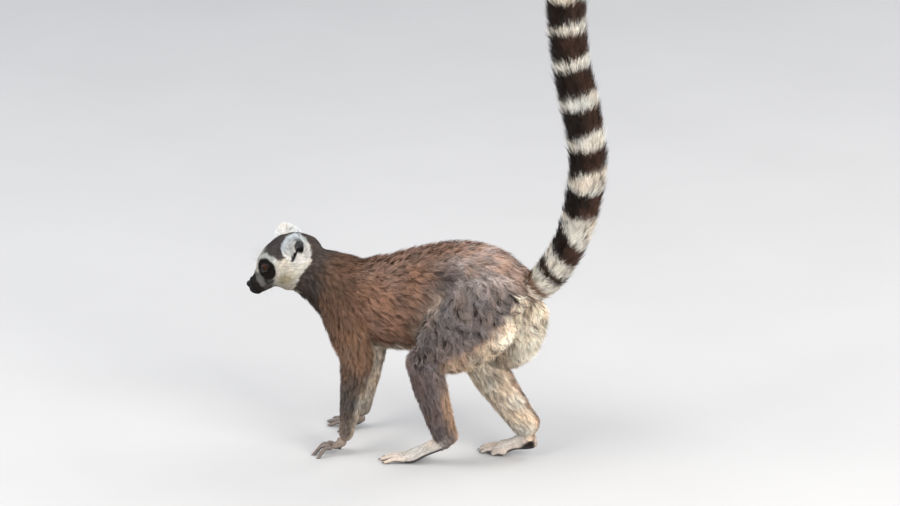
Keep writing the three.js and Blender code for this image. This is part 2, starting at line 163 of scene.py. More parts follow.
def smooth_line(points: Array, t: Array) -> tuple[Array, Array]:
    """A smooth line through points: cubic pieces whose slope at a point is half the step between its
    neighbours, with one mirrored point added at each end.

    Args:
        points: what the line goes through, one row each.
        t: places along it, from 0 to 1.

    Returns:
        The values there, and the slopes.
    """
    n = len(points) - 1
    padded = np.vstack([2 * points[0] - points[1], points, 2 * points[-1] - points[-2]])
    x = np.clip(t, 0.0, 1.0) * n
    i = np.minimum(x.astype(int), n - 1)
    w = (x - i)[:, None]
    p0, p1, p2, p3 = padded[i], padded[i + 1], padded[i + 2], padded[i + 3]
    m1, m2 = (p2 - p0) / 2, (p3 - p1) / 2
    c2 = 3 * (p2 - p1) - 2 * m1 - m2
    c3 = 2 * (p1 - p2) + m1 + m2
    return p1 + w * (m1 + w * (c2 + w * c3)), m1 + w * (2 * c2 + w * 3 * c3)


def grid_faces(rings: int, around: int) -> list[list[int]]:
    """Quads of a tube of rings, with both ends closed onto the two points that follow the rings.

    Args:
        rings: how many rings.
        around: points in each.

    Returns:
        Faces that look outwards where the rings turn right-handed about the way they follow.
    """
    j = np.arange(around)
    k = (j + 1) % around
    i = np.arange(rings - 1)[:, None] * around
    quads = np.stack([i + j, i + k, i + around + k, i + around + j], -1).reshape(-1, 4)
    start, end = rings * around, rings * around + 1
    last = (rings - 1) * around
    first_fan = np.stack([np.full(around, start), k, j], -1)
    last_fan = np.stack([np.full(around, end), last + j, last + k], -1)
    return quads.tolist() + first_fan.tolist() + last_fan.tolist()


def face_arrays(faces: list[list[int]]) -> tuple[Array, Array]:
    """Corners and starts of a list of faces."""
    sizes = np.array([len(f) for f in faces])
    return np.concatenate([np.asarray(f) for f in faces]), np.concatenate([[0], np.cumsum(sizes)[:-1]])


def tubes(rings: list[Array], ends: list[Array]) -> tuple[Array, Array, Array]:
    """Closed tubes, all with as many rings and points, as one mesh.

    Args:
        rings: for each tube its rings, by ring, point and axis.
        ends: for each tube the two points that close it.

    Returns:
        Points, corners and starts.
    """
    corners, starts = face_arrays(grid_faces(*rings[0].shape[:2]))
    tube = np.arange(len(rings))[:, None]
    points = [np.vstack([ring.reshape(-1, 3), *end]) for ring, end in zip(rings, ends)]
    corners, starts = corners + tube * len(points[0]), starts + tube * len(corners)
    return np.vstack(points), corners.ravel(), starts.ravel()


def ball_grid(rows: int, around: int) -> tuple[Array, Array, Array, Array, Array]:
    """A closed ball of rings round its forward axis.

    Args:
        rows: how many rings.
        around: points in each.

    Returns:
        For each point its angle off the axis, its turn round it and its direction, then corners and starts.
    """
    off = np.linspace(0.0, math.pi, rows + 2)[1:-1]
    turn = np.arange(around) * (2 * math.pi / around)
    off, turn = (g.ravel() for g in np.meshgrid(off, turn, indexing="ij"))
    off, turn = np.append(off, [0.0, math.pi]), np.append(turn, [0.0, 0.0])
    ball = np.stack([np.cos(off), np.sin(off) * np.cos(turn), np.sin(off) * np.sin(turn)], -1)
    return off, turn, ball, *face_arrays(grid_faces(rows, around))


# ---------------- where things are


class Part(Enum):
    """The parts of the body that a point of the skin can belong to."""

    HEAD = 0
    NECK = 1
    TRUNK = 2
    TAIL = 3
    LEFT_FORELEG = 4
    RIGHT_FORELEG = 5
    LEFT_THIGH = 6
    RIGHT_THIGH = 7
    LEFT_SHANK = 8
    RIGHT_SHANK = 9
    LEFT_HAND = 10
    RIGHT_HAND = 11
    LEFT_FOOT = 12
    RIGHT_FOOT = 13
    LEFT_EAR = 14
    RIGHT_EAR = 15

    @classmethod
    def of(cls, side: str, name: str) -> "Part":
        """A part of one side."""
        return cls[f"{side}_{name}".upper()]


SIDES = {"left": 1, "right": -1}
EAR_SIDES = {Part.LEFT_EAR: "left", Part.RIGHT_EAR: "right"}
PAWS = (Part.LEFT_HAND, Part.RIGHT_HAND, Part.LEFT_FOOT, Part.RIGHT_FOOT)


@dataclass
class Loft:
    """Rounded rings carried along a smooth line of stations, as the solids are.

    Each ring is an oval with half sizes `side` and `rise`: cosine and sine of the angle round it, each
    raised to 2 / squareness, times the half size less the depth of the coat.
    """

    part: Part
    at: Array
    side: Array
    rise: Array
    coat: Array
    square: Array | float = 2.0
    across: Triple | Array = (0.0, -1.0, 0.0)
    cap: float = 1.0
    way: int = 1
    place: Array | None = None
    samples: int = 72

    LINE_STEPS = 401
    # rings of a rounded end, and the most of the length that one takes
    CAP_RINGS, MOST_CAP = 5, 0.45
    THINNEST = 0.6
    # how many points are placed at a time
    BLOCK = 20000

    def __post_init__(self) -> None:
        """Lays out the line and samples it evenly along its length."""
        n = len(self.at)
        square = np.broadcast_to(np.asarray(self.square, float), (n,))
        self.sizes = np.stack([self.side, self.rise, square, self.coat], -1).astype(float)
        t = np.linspace(0.0, 1.0, self.LINE_STEPS)
        line, _ = smooth_line(self.at, t)
        gone = np.concatenate([[0.0], np.cumsum(np.linalg.norm(np.diff(line, axis=0), axis=1))])
        self.length = float(gone[-1])
        self._share, self._t = gone / self.length, t
        self.middle, self.along, self.left, self.up, self.size = self.sample(
            np.linspace(0.0, 1.0, self.samples)
        )

    def sample(self, share: Array) -> tuple[Array, Array, Array, Array, Array]:
        """The line at shares of its length.

        Args:
            share: from 0 to 1.

        Returns:
            Middles, directions along, to the side and up, and sizes (side, rise, squareness, coat).
        """
        t = np.interp(share, self._share, self._t)
        middle, along = smooth_line(self.at, t)
        along = unit(along)
        across = np.array(self.across, float)
        left = unit(across - along * (along @ across)[:, None])
        return middle, along, left, np.cross(along, left), smooth_line(self.sizes, t)[0]

    def surface(self, around: int, step: float) -> tuple[Array, list[list[int]]]:
        """The closed surface under the coat.

        Args:
            around: points in a ring.
            step: distance between rings.

        Returns:
            Points in the drawing frame and faces.
        """
        coats = self.sizes[0][3], self.sizes[-1][3]
        most = self.length * self.MOST_CAP
        ends = [min(self.cap * min(s[0], s[1]), most) + s[3] for s in (self.sizes[0], self.sizes[-1])]
        turn = np.arange(1, self.CAP_RINGS + 1) / (self.CAP_RINGS + 0.5) * (math.pi / 2)
        rings = max(4, int((self.length - sum(ends)) / step))
        inner = np.linspace(ends[0], self.length - ends[1], rings + 1)
        first = coats[0] + (ends[0] - coats[0]) * (1 - np.cos(turn))
        last = self.length - coats[1] - (ends[1] - coats[1]) * (1 - np.cos(turn[::-1]))
        distance = np.concatenate([first, inner, last])
        swell = np.concatenate([np.sin(turn), np.ones(rings + 1), np.sin(turn[::-1])])
        middle, _, left, up, size = self.sample(distance / self.length)
        angle = np.arange(around) * (2 * math.pi / around)
        power = (2.0 / size[:, 2])[:, None]
        c = np.sign(np.cos(angle)) * np.abs(np.cos(angle)) ** power
        s = np.sign(np.sin(angle)) * np.abs(np.sin(angle)) ** power
        half = np.maximum(size[:, :2] - size[:, 3:4], self.THINNEST) * swell[:, None]
        ring = (
            middle[:, None]
            + left[:, None] * (c * half[:, :1])[..., None]
            + up[:, None] * (s * half[:, 1:])[..., None]
        )
        poles = self.sample(np.array([coats[0], self.length - coats[1]]) / self.length)[0]
        points = np.vstack([ring.reshape(-1, 3), poles])
        return moved(points, self.place), grid_faces(len(distance), around)

    def locate(self, points: Array) -> dict[str, Array]:
        """Where points lie against the line, from its nearest sample.

        Args:
            points: places in the drawing frame.

        Returns:
            share along, angle round (0 to the side, a quarter turn is up), how far out and how far up in
            half sizes, the direction the fur lies, and the coat's depth.
        """
        local = unmoved(points, self.place)
        near = np.empty(len(points), int)
        for start in range(0, len(points), self.BLOCK):
            block = slice(start, start + self.BLOCK)
            near[block] = ((local[block, None] - self.middle[None]) ** 2).sum(-1).argmin(1)
        off = local - self.middle[near]
        along = self.along[near]
        reach = dot(off, along)
        share = np.clip(near / (self.samples - 1) + reach / self.length, 0.0, 1.0)
        beyond = np.where((near == 0) | (near == self.samples - 1), np.abs(reach), 0.0)
        side = dot(off, self.left[near]) / self.size[near, 0]
        up = dot(off, self.up[near]) / self.size[near, 1]
        lie = along * self.way
        if self.place is not None:
            lie = lie @ self.place[:3, :3].T
        thin = np.minimum(self.size[near, 0], self.size[near, 1])
        return {
            "share": share,
            "angle": np.arctan2(up, side),
            "out": np.sqrt(side**2 + up**2 + (beyond / thin) ** 2),
            "up": up,
            "lie": lie,
            "coat": self.size[near, 3],
        }


# ---------------- the animal's build


def level_axes(degrees: float) -> tuple[Array, Array]:
    """Level directions ahead and to the left of something that faces -X, turned left by degrees."""
    turn = math.radians(degrees)
    ahead = np.array([-math.cos(turn), -math.sin(turn), 0.0])
    return ahead, np.array([math.sin(turn), -math.cos(turn), 0.0])


def rotation(turn: float, nod: float) -> Array:
    """Axes (forward, left, up) of something that faces -X, turned left and nodded down by degrees."""
    level, left = level_axes(turn)
    nod = math.radians(nod)
    up = np.array([0.0, 0.0, 1.0])
    forward = level * math.cos(nod) - up * math.sin(nod)
    return np.stack([forward, left, level * math.sin(nod) + up * math.cos(nod)], 1)


def placed(axes: Array, at: Array) -> Array:
    """A 4 x 4 placement from axes as columns and a place."""
    matrix = np.eye(4)
    matrix[:3, :3] = axes
    matrix[:3, 3] = at
    return matrix


@dataclass
class Build:
    """Sizes of the whole animal in the drawing frame, the same as the solids', and its lofts."""

    head_at: Triple = (-180, -19, 272)
    head_turn: float = 24
    head_nod: float = 30
    # forward, top, bottom, half width, squareness, coat
    head: Rows = (
        (-30, -4, -15, 11, 2, 2.6), (-21, 14, -28, 23, 2, 3), (-8, 28, -40, 30.5, 2, 3.2),
        (7, 33.5, -46, 33, 2, 3.2), (20, 34, -46, 33, 2, 3), (32, 30.5, -41, 29.5, 2.1, 2.6),
        (43, 23.5, -33, 23.5, 2.2, 2), (52, 16, -28, 19, 2.3, 1.6), (60, 8, -25.5, 15.5, 2.4, 1.3),
        (68, 3.2, -24.5, 12.4, 2.5, 1), (76, 0, -22.5, 9.8, 2.4, 0.8), (82.5, -3.5, -18.5, 6.6, 2.2, 0.6),
    )  # fmt: skip
    # root, tip and facing in the head's axes (forward, out to its own side, up)
    ears: ClassVar[dict[str, Rows]] = {
        "left": ((5, 22, -4), (-23, 15, 38), (0.15, 1, 0)),
        "right": ((6, 22, -2), (2, 30, 26), (0.5, 0.7, -0.4)),
    }
    # height, half width, half thickness
    ear: Rows = (
        (-2, 12, 6), (10, 18.5, 8), (22, 20.5, 7.5), (34, 17.5, 6), (43, 11, 4.5), (48, 5, 3.2),
    )  # fmt: skip
    # x, y, top, bottom, half width, coat
    neck: Rows = (
        (-194, -24, 288, 222, 22, 5), (-176, -18, 289, 213, 29, 6), (-156, -10, 284, 200, 34, 7.5),
        (-134, -4, 279, 182, 41, 8.5), (-112, -1, 274.5, 164, 46, 9), (-90, 0, 273, 153, 48.5, 9),
    )  # fmt: skip
    trunk: Rows = (
        (-151, 0, 256, 202, 24, 7), (-137, 0, 268, 178, 39, 8.5), (-114, 0, 270, 158, 47, 9),
        (-84, 0, 274, 149, 50, 9), (-48, 0, 282, 147, 51, 9), (-10, 0, 296, 151, 52, 9),
        (30, 0, 310, 162, 53, 9.5), (66, 0, 318, 178, 54, 10), (98, 0, 314, 197, 51, 10),
        (124, 0, 299, 214, 45, 10), (146, 0, 281, 230, 34, 9), (160, 0, 268, 244, 20, 7),
    )  # fmt: skip
    # x, z, half thickness, coat
    tail: Rows = (
        (130, 252, 21, 8), (150, 260, 22, 9), (170, 273, 23, 10.5), (191, 298, 24, 11.5), (209, 331, 24, 12),
        (222, 366, 25, 12.5), (231, 406, 26, 13), (235.5, 450, 26.5, 13.5), (230, 497, 26.5, 13.5),
        (218.5, 549, 26.5, 13.5), (208, 604, 26.5, 13.5), (202.5, 662, 27, 14), (206, 718, 27, 14.5),
        (218, 770, 26, 15), (233, 816, 24, 15.5),
    )  # fmt: skip
    joints: ClassVar[dict[str, dict[str, Triple]]] = {
        "left": {
            "shoulder": (-124, -30, 224),
            "elbow": (-79, -46, 148),
            "wrist": (-97, -48, 29),
            "hip": (112, -30, 250),
            "knee": (20, -61, 168),
            "ankle": (46, -39, 50),
        },
        "right": {
            "shoulder": (-126, 30, 224),
            "elbow": (-96, 44, 148),
            "wrist": (-117, 52, 29),
            "hip": (112, 30, 250),
            "knee": (44, 59, 139),
            "ankle": (127, 50, 47),
        },
    }
    # how thick the shanks are, and how far back the thighs are set
    fullness: ClassVar[dict[str, float]] = {"left": 1.04, "right": 1.15}
    ham: ClassVar[dict[str, float]] = {"left": 1.0, "right": 3.2}
    # from joint, to joint, share, half depth, half width, back, coat
    foreleg: tuple[tuple, ...] = (
        ("shoulder", "elbow", -0.04, 25, 13, 0, 6), ("shoulder", "elbow", 0.3, 29, 17, 0, 6.5),
        ("shoulder", "elbow", 0.66, 31, 18, -1, 6.5), ("shoulder", "elbow", 1, 27.5, 17.5, -3, 6),
        ("elbow", "wrist", 0.2, 23, 16.5, -1, 5), ("elbow", "wrist", 0.4, 19.5, 15, 0, 4),
        ("elbow", "wrist", 0.66, 15.5, 13, 0, 3.2), ("elbow", "wrist", 0.87, 12, 11, 0, 2.4),
        ("elbow", "wrist", 1.06, 9.5, 9.5, 0, 1.8),
    )  # fmt: skip
    thigh: tuple[tuple, ...] = (
        ("hip", "knee", -0.1, 46, 20, 2, 8), ("hip", "knee", 0.18, 58, 27, 3, 10),
        ("hip", "knee", 0.5, 55, 29, 8, 10.5), ("hip", "knee", 0.76, 45, 26, 10, 9.5),
        ("hip", "knee", 1.02, 29, 21, 4, 6.5),
    )  # fmt: skip
    shank: tuple[tuple, ...] = (
        ("knee", "ankle", -0.1, 21, 16, 0, 5.5), ("knee", "ankle", 0.14, 24.5, 18.5, 0, 6.5),
        ("knee", "ankle", 0.38, 25.5, 18.5, 0, 6.5), ("knee", "ankle", 0.62, 22.8, 16.5, 0, 5.5),
        ("knee", "ankle", 0.84, 20.6, 13.5, 0, 4.5), ("knee", "ankle", 1.02, 18.5, 12, 1.5, 3.5),
        ("knee", "ankle", 1.14, 15, 11, 2, 3),
    )  # fmt: skip
    # wrist, palm, heading, heights of knuckle, bend and tip, share of the reach
    hands: ClassVar[dict[str, tuple]] = {
        "left": ((-98, -48, 25), (-107, -49, 16), 12, 12, 13.5, -1.2, 0.7),
        "right": ((-118, 52, 21), (-129, 55, 10), -13, 7, 7.5, 1.2, 1),
    }
    # heel, ball, heading, great toe's spread, share of the reach, heel depth
    feet: ClassVar[dict[str, tuple]] = {
        "left": ((53, -35, 43), (-4, -34, 10), 4, 58, 0.96, 12),
        "right": ((143, 51, 30), (95, 48, 9.6), -5, 10, 0.74, 16),
    }
    # spread, reach, set back and out, thickness
    fingers: Rows = (
        (62, 25, 0.3, 0.75, 3.4), (22, 31, 0.85, 0.62, 3.3), (6, 37, 1, 0.22, 3.5), (-10, 39, 1, -0.22, 3.5),
        (-30, 32, 0.85, -0.66, 3.3),
    )  # fmt: skip
    toes: Rows = (
        (0, 30, 0.1, 0.75, 5), (13, 31, 0.85, 0.66, 3.7), (4, 36, 1, 0.24, 3.9), (-6, 38, 1, -0.22, 3.9),
        (-16, 33, 0.85, -0.68, 3.7),
    )  # fmt: skip
    barrel_square: float = 2.15
    ear_coat: float = 3.0
    digit_coat: float = 0.7
    palm_coat: float = 1.3

    def __post_init__(self) -> None:
        """Works out every loft and where each digit ends."""
        self.head_axes = rotation(self.head_turn, self.head_nod)
        self.head_place = placed(self.head_axes, np.array(self.head_at, float))
        self.digit_tips: list[tuple[Array, Array, float]] = []
        self.tail_loft = self._tail()
        barrels = [self._barrel(Part.NECK, self.neck, 0.5), self._barrel(Part.TRUNK, self.trunk, 1)]
        self.lofts = [self._head(), *barrels, self.tail_loft]
        for side in SIDES:
            self.lofts += [self._ear(side), *self._limbs(side), *self._hand(side), *self._foot(side)]

    def head_local(self, points: Array) -> Array:
        """Points in the head's own axes: forward, to its left, up."""
        return (points - self.head_place[:3, 3]) @ self.head_axes

    def head_world(self, points: Array) -> Array:
        """Points from the head's own axes to the drawing frame."""
        return points @ self.head_axes.T + self.head_place[:3, 3]

    def _head(self) -> Loft:
        """The skull and muzzle."""
        f, top, bottom, half, square, coat = np.array(self.head, float).T
        at, rise = np.stack([f, 0 * f, (top + bottom) / 2], -1), (top - bottom) / 2
        return Loft(Part.HEAD, at, half, rise, coat, square, (0, 1, 0), way=-1, place=self.head_place)

    def _barrel(self, part: Part, rows: Rows, cap: float) -> Loft:
        """The neck or the trunk."""
        x, y, top, bottom, half, coat = np.array(rows, float).T
        at, rise = np.stack([x, y, (top + bottom) / 2], -1), (top - bottom) / 2
        return Loft(part, at, half, rise, coat, self.barrel_square, cap=cap)

    def _tail(self) -> Loft:
        """The tail's core under its deep coat."""
        x, z, half, coat = np.array(self.tail, float).T
        return Loft(Part.TAIL, np.stack([x, 0 * x, z], -1), half, half, coat, samples=200)

    def ear_place(self, side: str) -> Array:
        """An ear's placement: its axes are the way it opens, across it, and root to tip."""
        root, tip, faces = (np.array([f, SIDES[side] * o, u], float) for f, o, u in self.ears[side])
        rise = unit(tip)
        face = unit(faces - rise * (faces @ rise))
        axes = np.stack([face, np.cross(rise, face), rise], 1)
        return self.head_place @ placed(axes, root)

    def _ear(self, side: str) -> Loft:
        """The leaf that an ear is scooped from."""
        height, half, thick = np.array(self.ear, float).T
        at = np.stack([0 * height, 0 * height, height], -1)
        coat = np.full(len(height), self.ear_coat)
        return Loft(Part.of(side, "ear"), at, half, thick, coat, 2.0, (0, 1, 0), place=self.ear_place(side))

    def _limb(self, side: str, name: str, rows: tuple[tuple, ...], full: float = 1, ham: float = 1) -> Loft:
        """A limb from its joints and girths, `full` times as thick and set `ham` times as far back."""
        joints = self.joints[side]
        at, sizes = [], []
        for start, end, share, deep, wide, back, coat in rows:
            a, b = np.array(joints[start], float), np.array(joints[end], float)
            at.append(a + (b - a) * share + (back * ham, 0, 0))
            sizes.append((wide * full, deep * full, coat))
        wide, deep, coat = np.array(sizes).T
        return Loft(Part.of(side, name), np.array(at), wide, deep, coat)

    def _limbs(self, side: str) -> list[Loft]:
        """Foreleg, thigh and shank of one side."""
        return [
            self._limb(side, "foreleg", self.foreleg),
            self._limb(side, "thigh", self.thigh, ham=self.ham[side]),
            self._limb(side, "shank", self.shank, full=self.fullness[side]),
        ]

    def _digits(
        self,
        part: Part,
        row: Array,
        heading: float,
        heights: tuple[float, float],
        digits: list[tuple[float, ...]],
        half: float,
    ) -> list[Loft]:
        """Five digits from their knuckles, over their bends, down to their tips.

        Args:
            part: the hand or foot that they belong to.
            row: the middle of the knuckles.
            heading: of the hand or foot, in degrees to the left.
            heights: of the bends and the tips.
            digits: spread, reach, set back and out, and thickness of each.
            half: half the width of the knuckles.

        Returns:
            Their lofts.
        """
        inner = -1 if part in (Part.LEFT_HAND, Part.LEFT_FOOT) else 1
        ahead, to_left = level_axes(heading)
        lofts = []
        for spread, reach, back, out, thick in digits:
            knuckle = row + ahead * (back - 1) * half * 1.6 + to_left * inner * out * half
            forth, across = level_axes(heading + inner * spread)
            bend, tip = knuckle + forth * reach * 0.48, knuckle + forth * reach
            bend[2], tip[2] = heights
            joint = bend + (tip - bend) * 0.7
            at = np.array([knuckle, bend, joint, tip])
            side = thick * np.array([1, 1, 0.95, 0.8])
            rise = thick * np.array([1.15, 1, 0.9, 0.66])
            coat = np.full(4, self.digit_coat)
            lofts.append(Loft(part, at, side, rise, coat, across=across, samples=12))
            self.digit_tips.append((tip, unit(tip - joint), thick))
        return lofts

    def _hand(self, side: str) -> list[Loft]:
        """A palm and its fingers."""
        wrist, palm, heading, knuckle, bend, tip, share = self.hands[side]
        ahead, across = level_axes(heading)
        wrist, palm = np.array(wrist, float), np.array(palm, float)
        row = palm + ahead * 9.1
        row[2] = knuckle
        at = np.array([wrist, wrist + (palm - wrist) * 0.6, palm, row])
        part = Part.of(side, "hand")
        wide, deep = np.array([8.5, 9.9, 11, 9.9]), np.array([8.5, 7.8, 6.5, 5.2])
        pad = Loft(part, at, wide, deep, np.full(4, self.palm_coat), 2.0, across, 0.8)
        fingers = [(f[0], f[1] * share, *f[2:]) for f in self.fingers]
        return [pad, *self._digits(part, row, heading, (bend, tip), fingers, 11)]

    def _foot(self, side: str) -> list[Loft]:
        """A sole from heel to ball and its toes."""
        heel, ball, heading, great_toe, share, depth = self.feet[side]
        ahead, across = level_axes(heading)
        heel, ball = np.array(heel, float), np.array(ball, float)
        front, row = ball + ahead * 14, ball + ahead * 9
        front[2], row[2] = 5, 6
        at = np.array([heel, heel + (ball - heel) * 0.33, heel + (ball - heel) * 0.7, ball, front])
        part = Part.of(side, "foot")
        wide = np.array([11, 10.5, 11.6, 13.5, 11.5])
        deep = np.array([depth, depth * 0.92, 10, 10.5, 6])
        coat = np.array([2.2, 2.2, 2, 1.6, 1.2])
        pad = Loft(part, at, wide, deep, coat, 2.0, across, 0.8)
        toes = [(great_toe if k == 0 else t[0], t[1] * share, *t[2:]) for k, t in enumerate(self.toes)]
        return [pad, *self._digits(part, row, heading, (7, 1.2), toes, 13.5)]


@dataclass
class Places:
    """Points on the skin, with where each lies on the animal."""

    points: Array
    normals: Array
    part: Array
    share: Array
    angle: Array
    up: Array
    lie: Array
    coat: Array

    def take(self, rows: Array) -> "Places":
        """The same for some of the points only."""
        return Places(*(getattr(self, name)[rows] for name in self.__dataclass_fields__))

    def of(self, *parts: Part) -> Array:
        """A mask of the points that belong to the parts."""
        return np.isin(self.part, [p.value for p in parts])


@dataclass
class Chart:
    """Finds the part, and the place on it, of any point on the skin."""

    build: Build

    # how far beyond a loft's girth its box reaches, and how far out a point may be, in half sizes
    ROOM, FAR = 8.0, 9.0
    FOUND = ("share", "angle", "up", "lie", "coat")
    # room round each part's rectangle on the unwrap
    MARGIN = 0.005

    def __post_init__(self) -> None:
        """Works out the box round each loft."""
        self.boxes = []
        for loft in self.build.lofts:
            line = moved(loft.middle, loft.place)
            reach = loft.size[:, :2].max() + self.ROOM
            self.boxes.append((line.min(0) - reach, line.max(0) + reach))

    def places(self, points: Array, normals: Array) -> Places:
        """Gives each point to the loft that it is least far out of, in that loft's own half sizes.

        Args:
            points: places in the drawing frame.
            normals: the skin's directions there.

        Returns:
            The points with their parts and places.
        """
        n = len(points)
        best = np.full(n, self.FAR)
        blank = [*(np.zeros(n) for _ in range(3)), np.zeros((n, 3)), np.full(n, 3.0)]
        found = Places(points, normals, np.full(n, Part.TRUNK.value), *blank)
        for loft, (low, high) in zip(self.build.lofts, self.boxes):
            rows = np.flatnonzero(((points > low) & (points < high)).all(1))
            if not len(rows):
                continue
            here = loft.locate(points[rows])
            nearer = here["out"] < best[rows]
            rows = rows[nearer]
            best[rows] = here["out"][nearer]
            found.part[rows] = loft.part.value
            for name in self.FOUND:
                getattr(found, name)[rows] = here[name][nearer]
        return found

    def unwrap(self, places: Places) -> Array:
        """Where points lie on a flat unwrap of the skin's own shape: each part has its own rectangle,
        with the way along it across the rectangle and the way round it up the rectangle. The digits of a
        hand or foot lie side by side, with their upper faces and their undersides apart.

        Args:
            places: points on the skin.

        Returns:
            One pair from 0 to 1 for each point.
        """
        along = places.share.copy()
        round_ = (places.angle / (2 * math.pi)) % 1.0
        for part in PAWS:
            rows = places.of(part)
            if not rows.any():
                continue
            p = places.points[rows]
            low, high = p.min(0), p.max(0)
            spot = (p - low) / np.maximum(high - low, 1e-6)
            under = places.normals[rows, 2] < 0
            along[rows] = spot[:, 0]
            round_[rows] = 0.49 * spot[:, 1] + 0.5 * under
        uv = np.empty((len(along), 2))
        for part in Part:
            rows = places.part == part.value
            u, v, wide, high = ATLAS[part]
            uv[rows, 0] = u + self.MARGIN + along[rows] * (wide - 2 * self.MARGIN)
            uv[rows, 1] = v + self.MARGIN + round_[rows] * (high - 2 * self.MARGIN)
        return uv


ATLAS: dict[Part, tuple[float, float, float, float]] = {
    Part.TRUNK: (0.0, 0.0, 0.5, 0.36),
    Part.TAIL: (0.5, 0.0, 0.5, 0.36),
    Part.HEAD: (0.0, 0.36, 0.28, 0.34),
    Part.NECK: (0.28, 0.36, 0.22, 0.17),
    Part.LEFT_EAR: (0.28, 0.53, 0.11, 0.17),
    Part.RIGHT_EAR: (0.39, 0.53, 0.11, 0.17),
    Part.LEFT_THIGH: (0.5, 0.36, 0.25, 0.34),
    Part.RIGHT_THIGH: (0.75, 0.36, 0.25, 0.34),
    Part.LEFT_SHANK: (0.0, 0.7, 0.2, 0.3),
    Part.RIGHT_SHANK: (0.2, 0.7, 0.2, 0.3),
    Part.LEFT_FORELEG: (0.4, 0.7, 0.18, 0.3),
    Part.RIGHT_FORELEG: (0.58, 0.7, 0.18, 0.3),
    Part.LEFT_HAND: (0.76, 0.7, 0.12, 0.15),
    Part.RIGHT_HAND: (0.88, 0.7, 0.12, 0.15),
    Part.LEFT_FOOT: (0.76, 0.85, 0.12, 0.15),
    Part.RIGHT_FOOT: (0.88, 0.85, 0.12, 0.15),
}


# ---------------- markings


class Tint(Enum):
    """The colours of coat and bare skin, as linear red, green and blue."""

    BLACK = (0.009, 0.007, 0.006)
    PATCH = (0.010, 0.007, 0.006)
    CROWN = (0.078, 0.065, 0.061)
    NAPE = (0.068, 0.050, 0.042)
    FACE_WHITE = (0.61, 0.585, 0.52)
    EAR_WHITE = (0.74, 0.73, 0.70)
    EAR_HOLLOW = (0.15, 0.145, 0.15)
    # dark lips with painted shade under the muzzle; also a painted shade spot behind the right knee
    JAW = (0.060, 0.047, 0.040)
    MUZZLE_GREY = (0.135, 0.133, 0.126)
    # painted shade on the lower cheeks of the white face
    CHEEK_OLIVE = (0.40, 0.36, 0.245)
    THROAT = (0.52, 0.46, 0.36)
    RUST_SHOULDER = (0.135, 0.078, 0.053)
    UPPER_ARM = (0.205, 0.118, 0.075)
    RUST_FLANK = (0.262, 0.148, 0.101)
    RUST_BACK = (0.25, 0.155, 0.115)
    RUMP = (0.46, 0.315, 0.25)
    RUMP_GREY = (0.37, 0.31, 0.285)
    HAUNCH = (0.127, 0.106, 0.100)
    CREAM = (0.75, 0.64, 0.51)
    # cream darkened by painted shade, for the inside and underside of the thighs between the legs
    INNER = (0.38, 0.305, 0.225)
    STRIP = (0.60, 0.45, 0.34)
    BUTTOCK = (0.86, 0.76, 0.62)
    BELLY = (0.60, 0.52, 0.42)
    SHANK = (0.163, 0.124, 0.114)
    TAN = (0.44, 0.285, 0.19)
    FOREARM = (0.104, 0.083, 0.072)
    WHITE = (0.69, 0.615, 0.545)
    HAND = (0.27, 0.215, 0.178)
    DIGIT = (0.15, 0.125, 0.112)
    BARE = (0.022, 0.018, 0.017)
    TAIL_WHITE = (0.63, 0.59, 0.52)
    TAIL_BLACK = (0.005, 0.004, 0.0035)
    TAIL_BROWN = (0.085, 0.043, 0.029)
    TAIL_BASE = (0.57, 0.42, 0.31)
    # painted shade darkens the orange-amber iris to a dark red-brown
    IRIS = (0.055, 0.017, 0.006)
    IRIS_EDGE = (0.020, 0.007, 0.004)
    EYE_WHITE = (0.02, 0.01, 0.007)
    PUPIL = (0.003, 0.003, 0.003)

    @property
    def rgb(self) -> Array:
        """The colour as an array."""
        return np.array(self.value)


def layered(ground: Tint, *layers: tuple[Tint | Array, Array | float]) -> Array:
    """Lays colours over one another.

    Args:
        ground: what lies lowest.
        layers: each colour and how far it covers what lies under it, from 0 to 1.

    Returns:
        Linear red, green and blue.
    """
    rgb = ground.rgb
    for colour, share in layers:
        rgb = mix(rgb, colour.rgb if isinstance(colour, Tint) else colour, share)
    return rgb


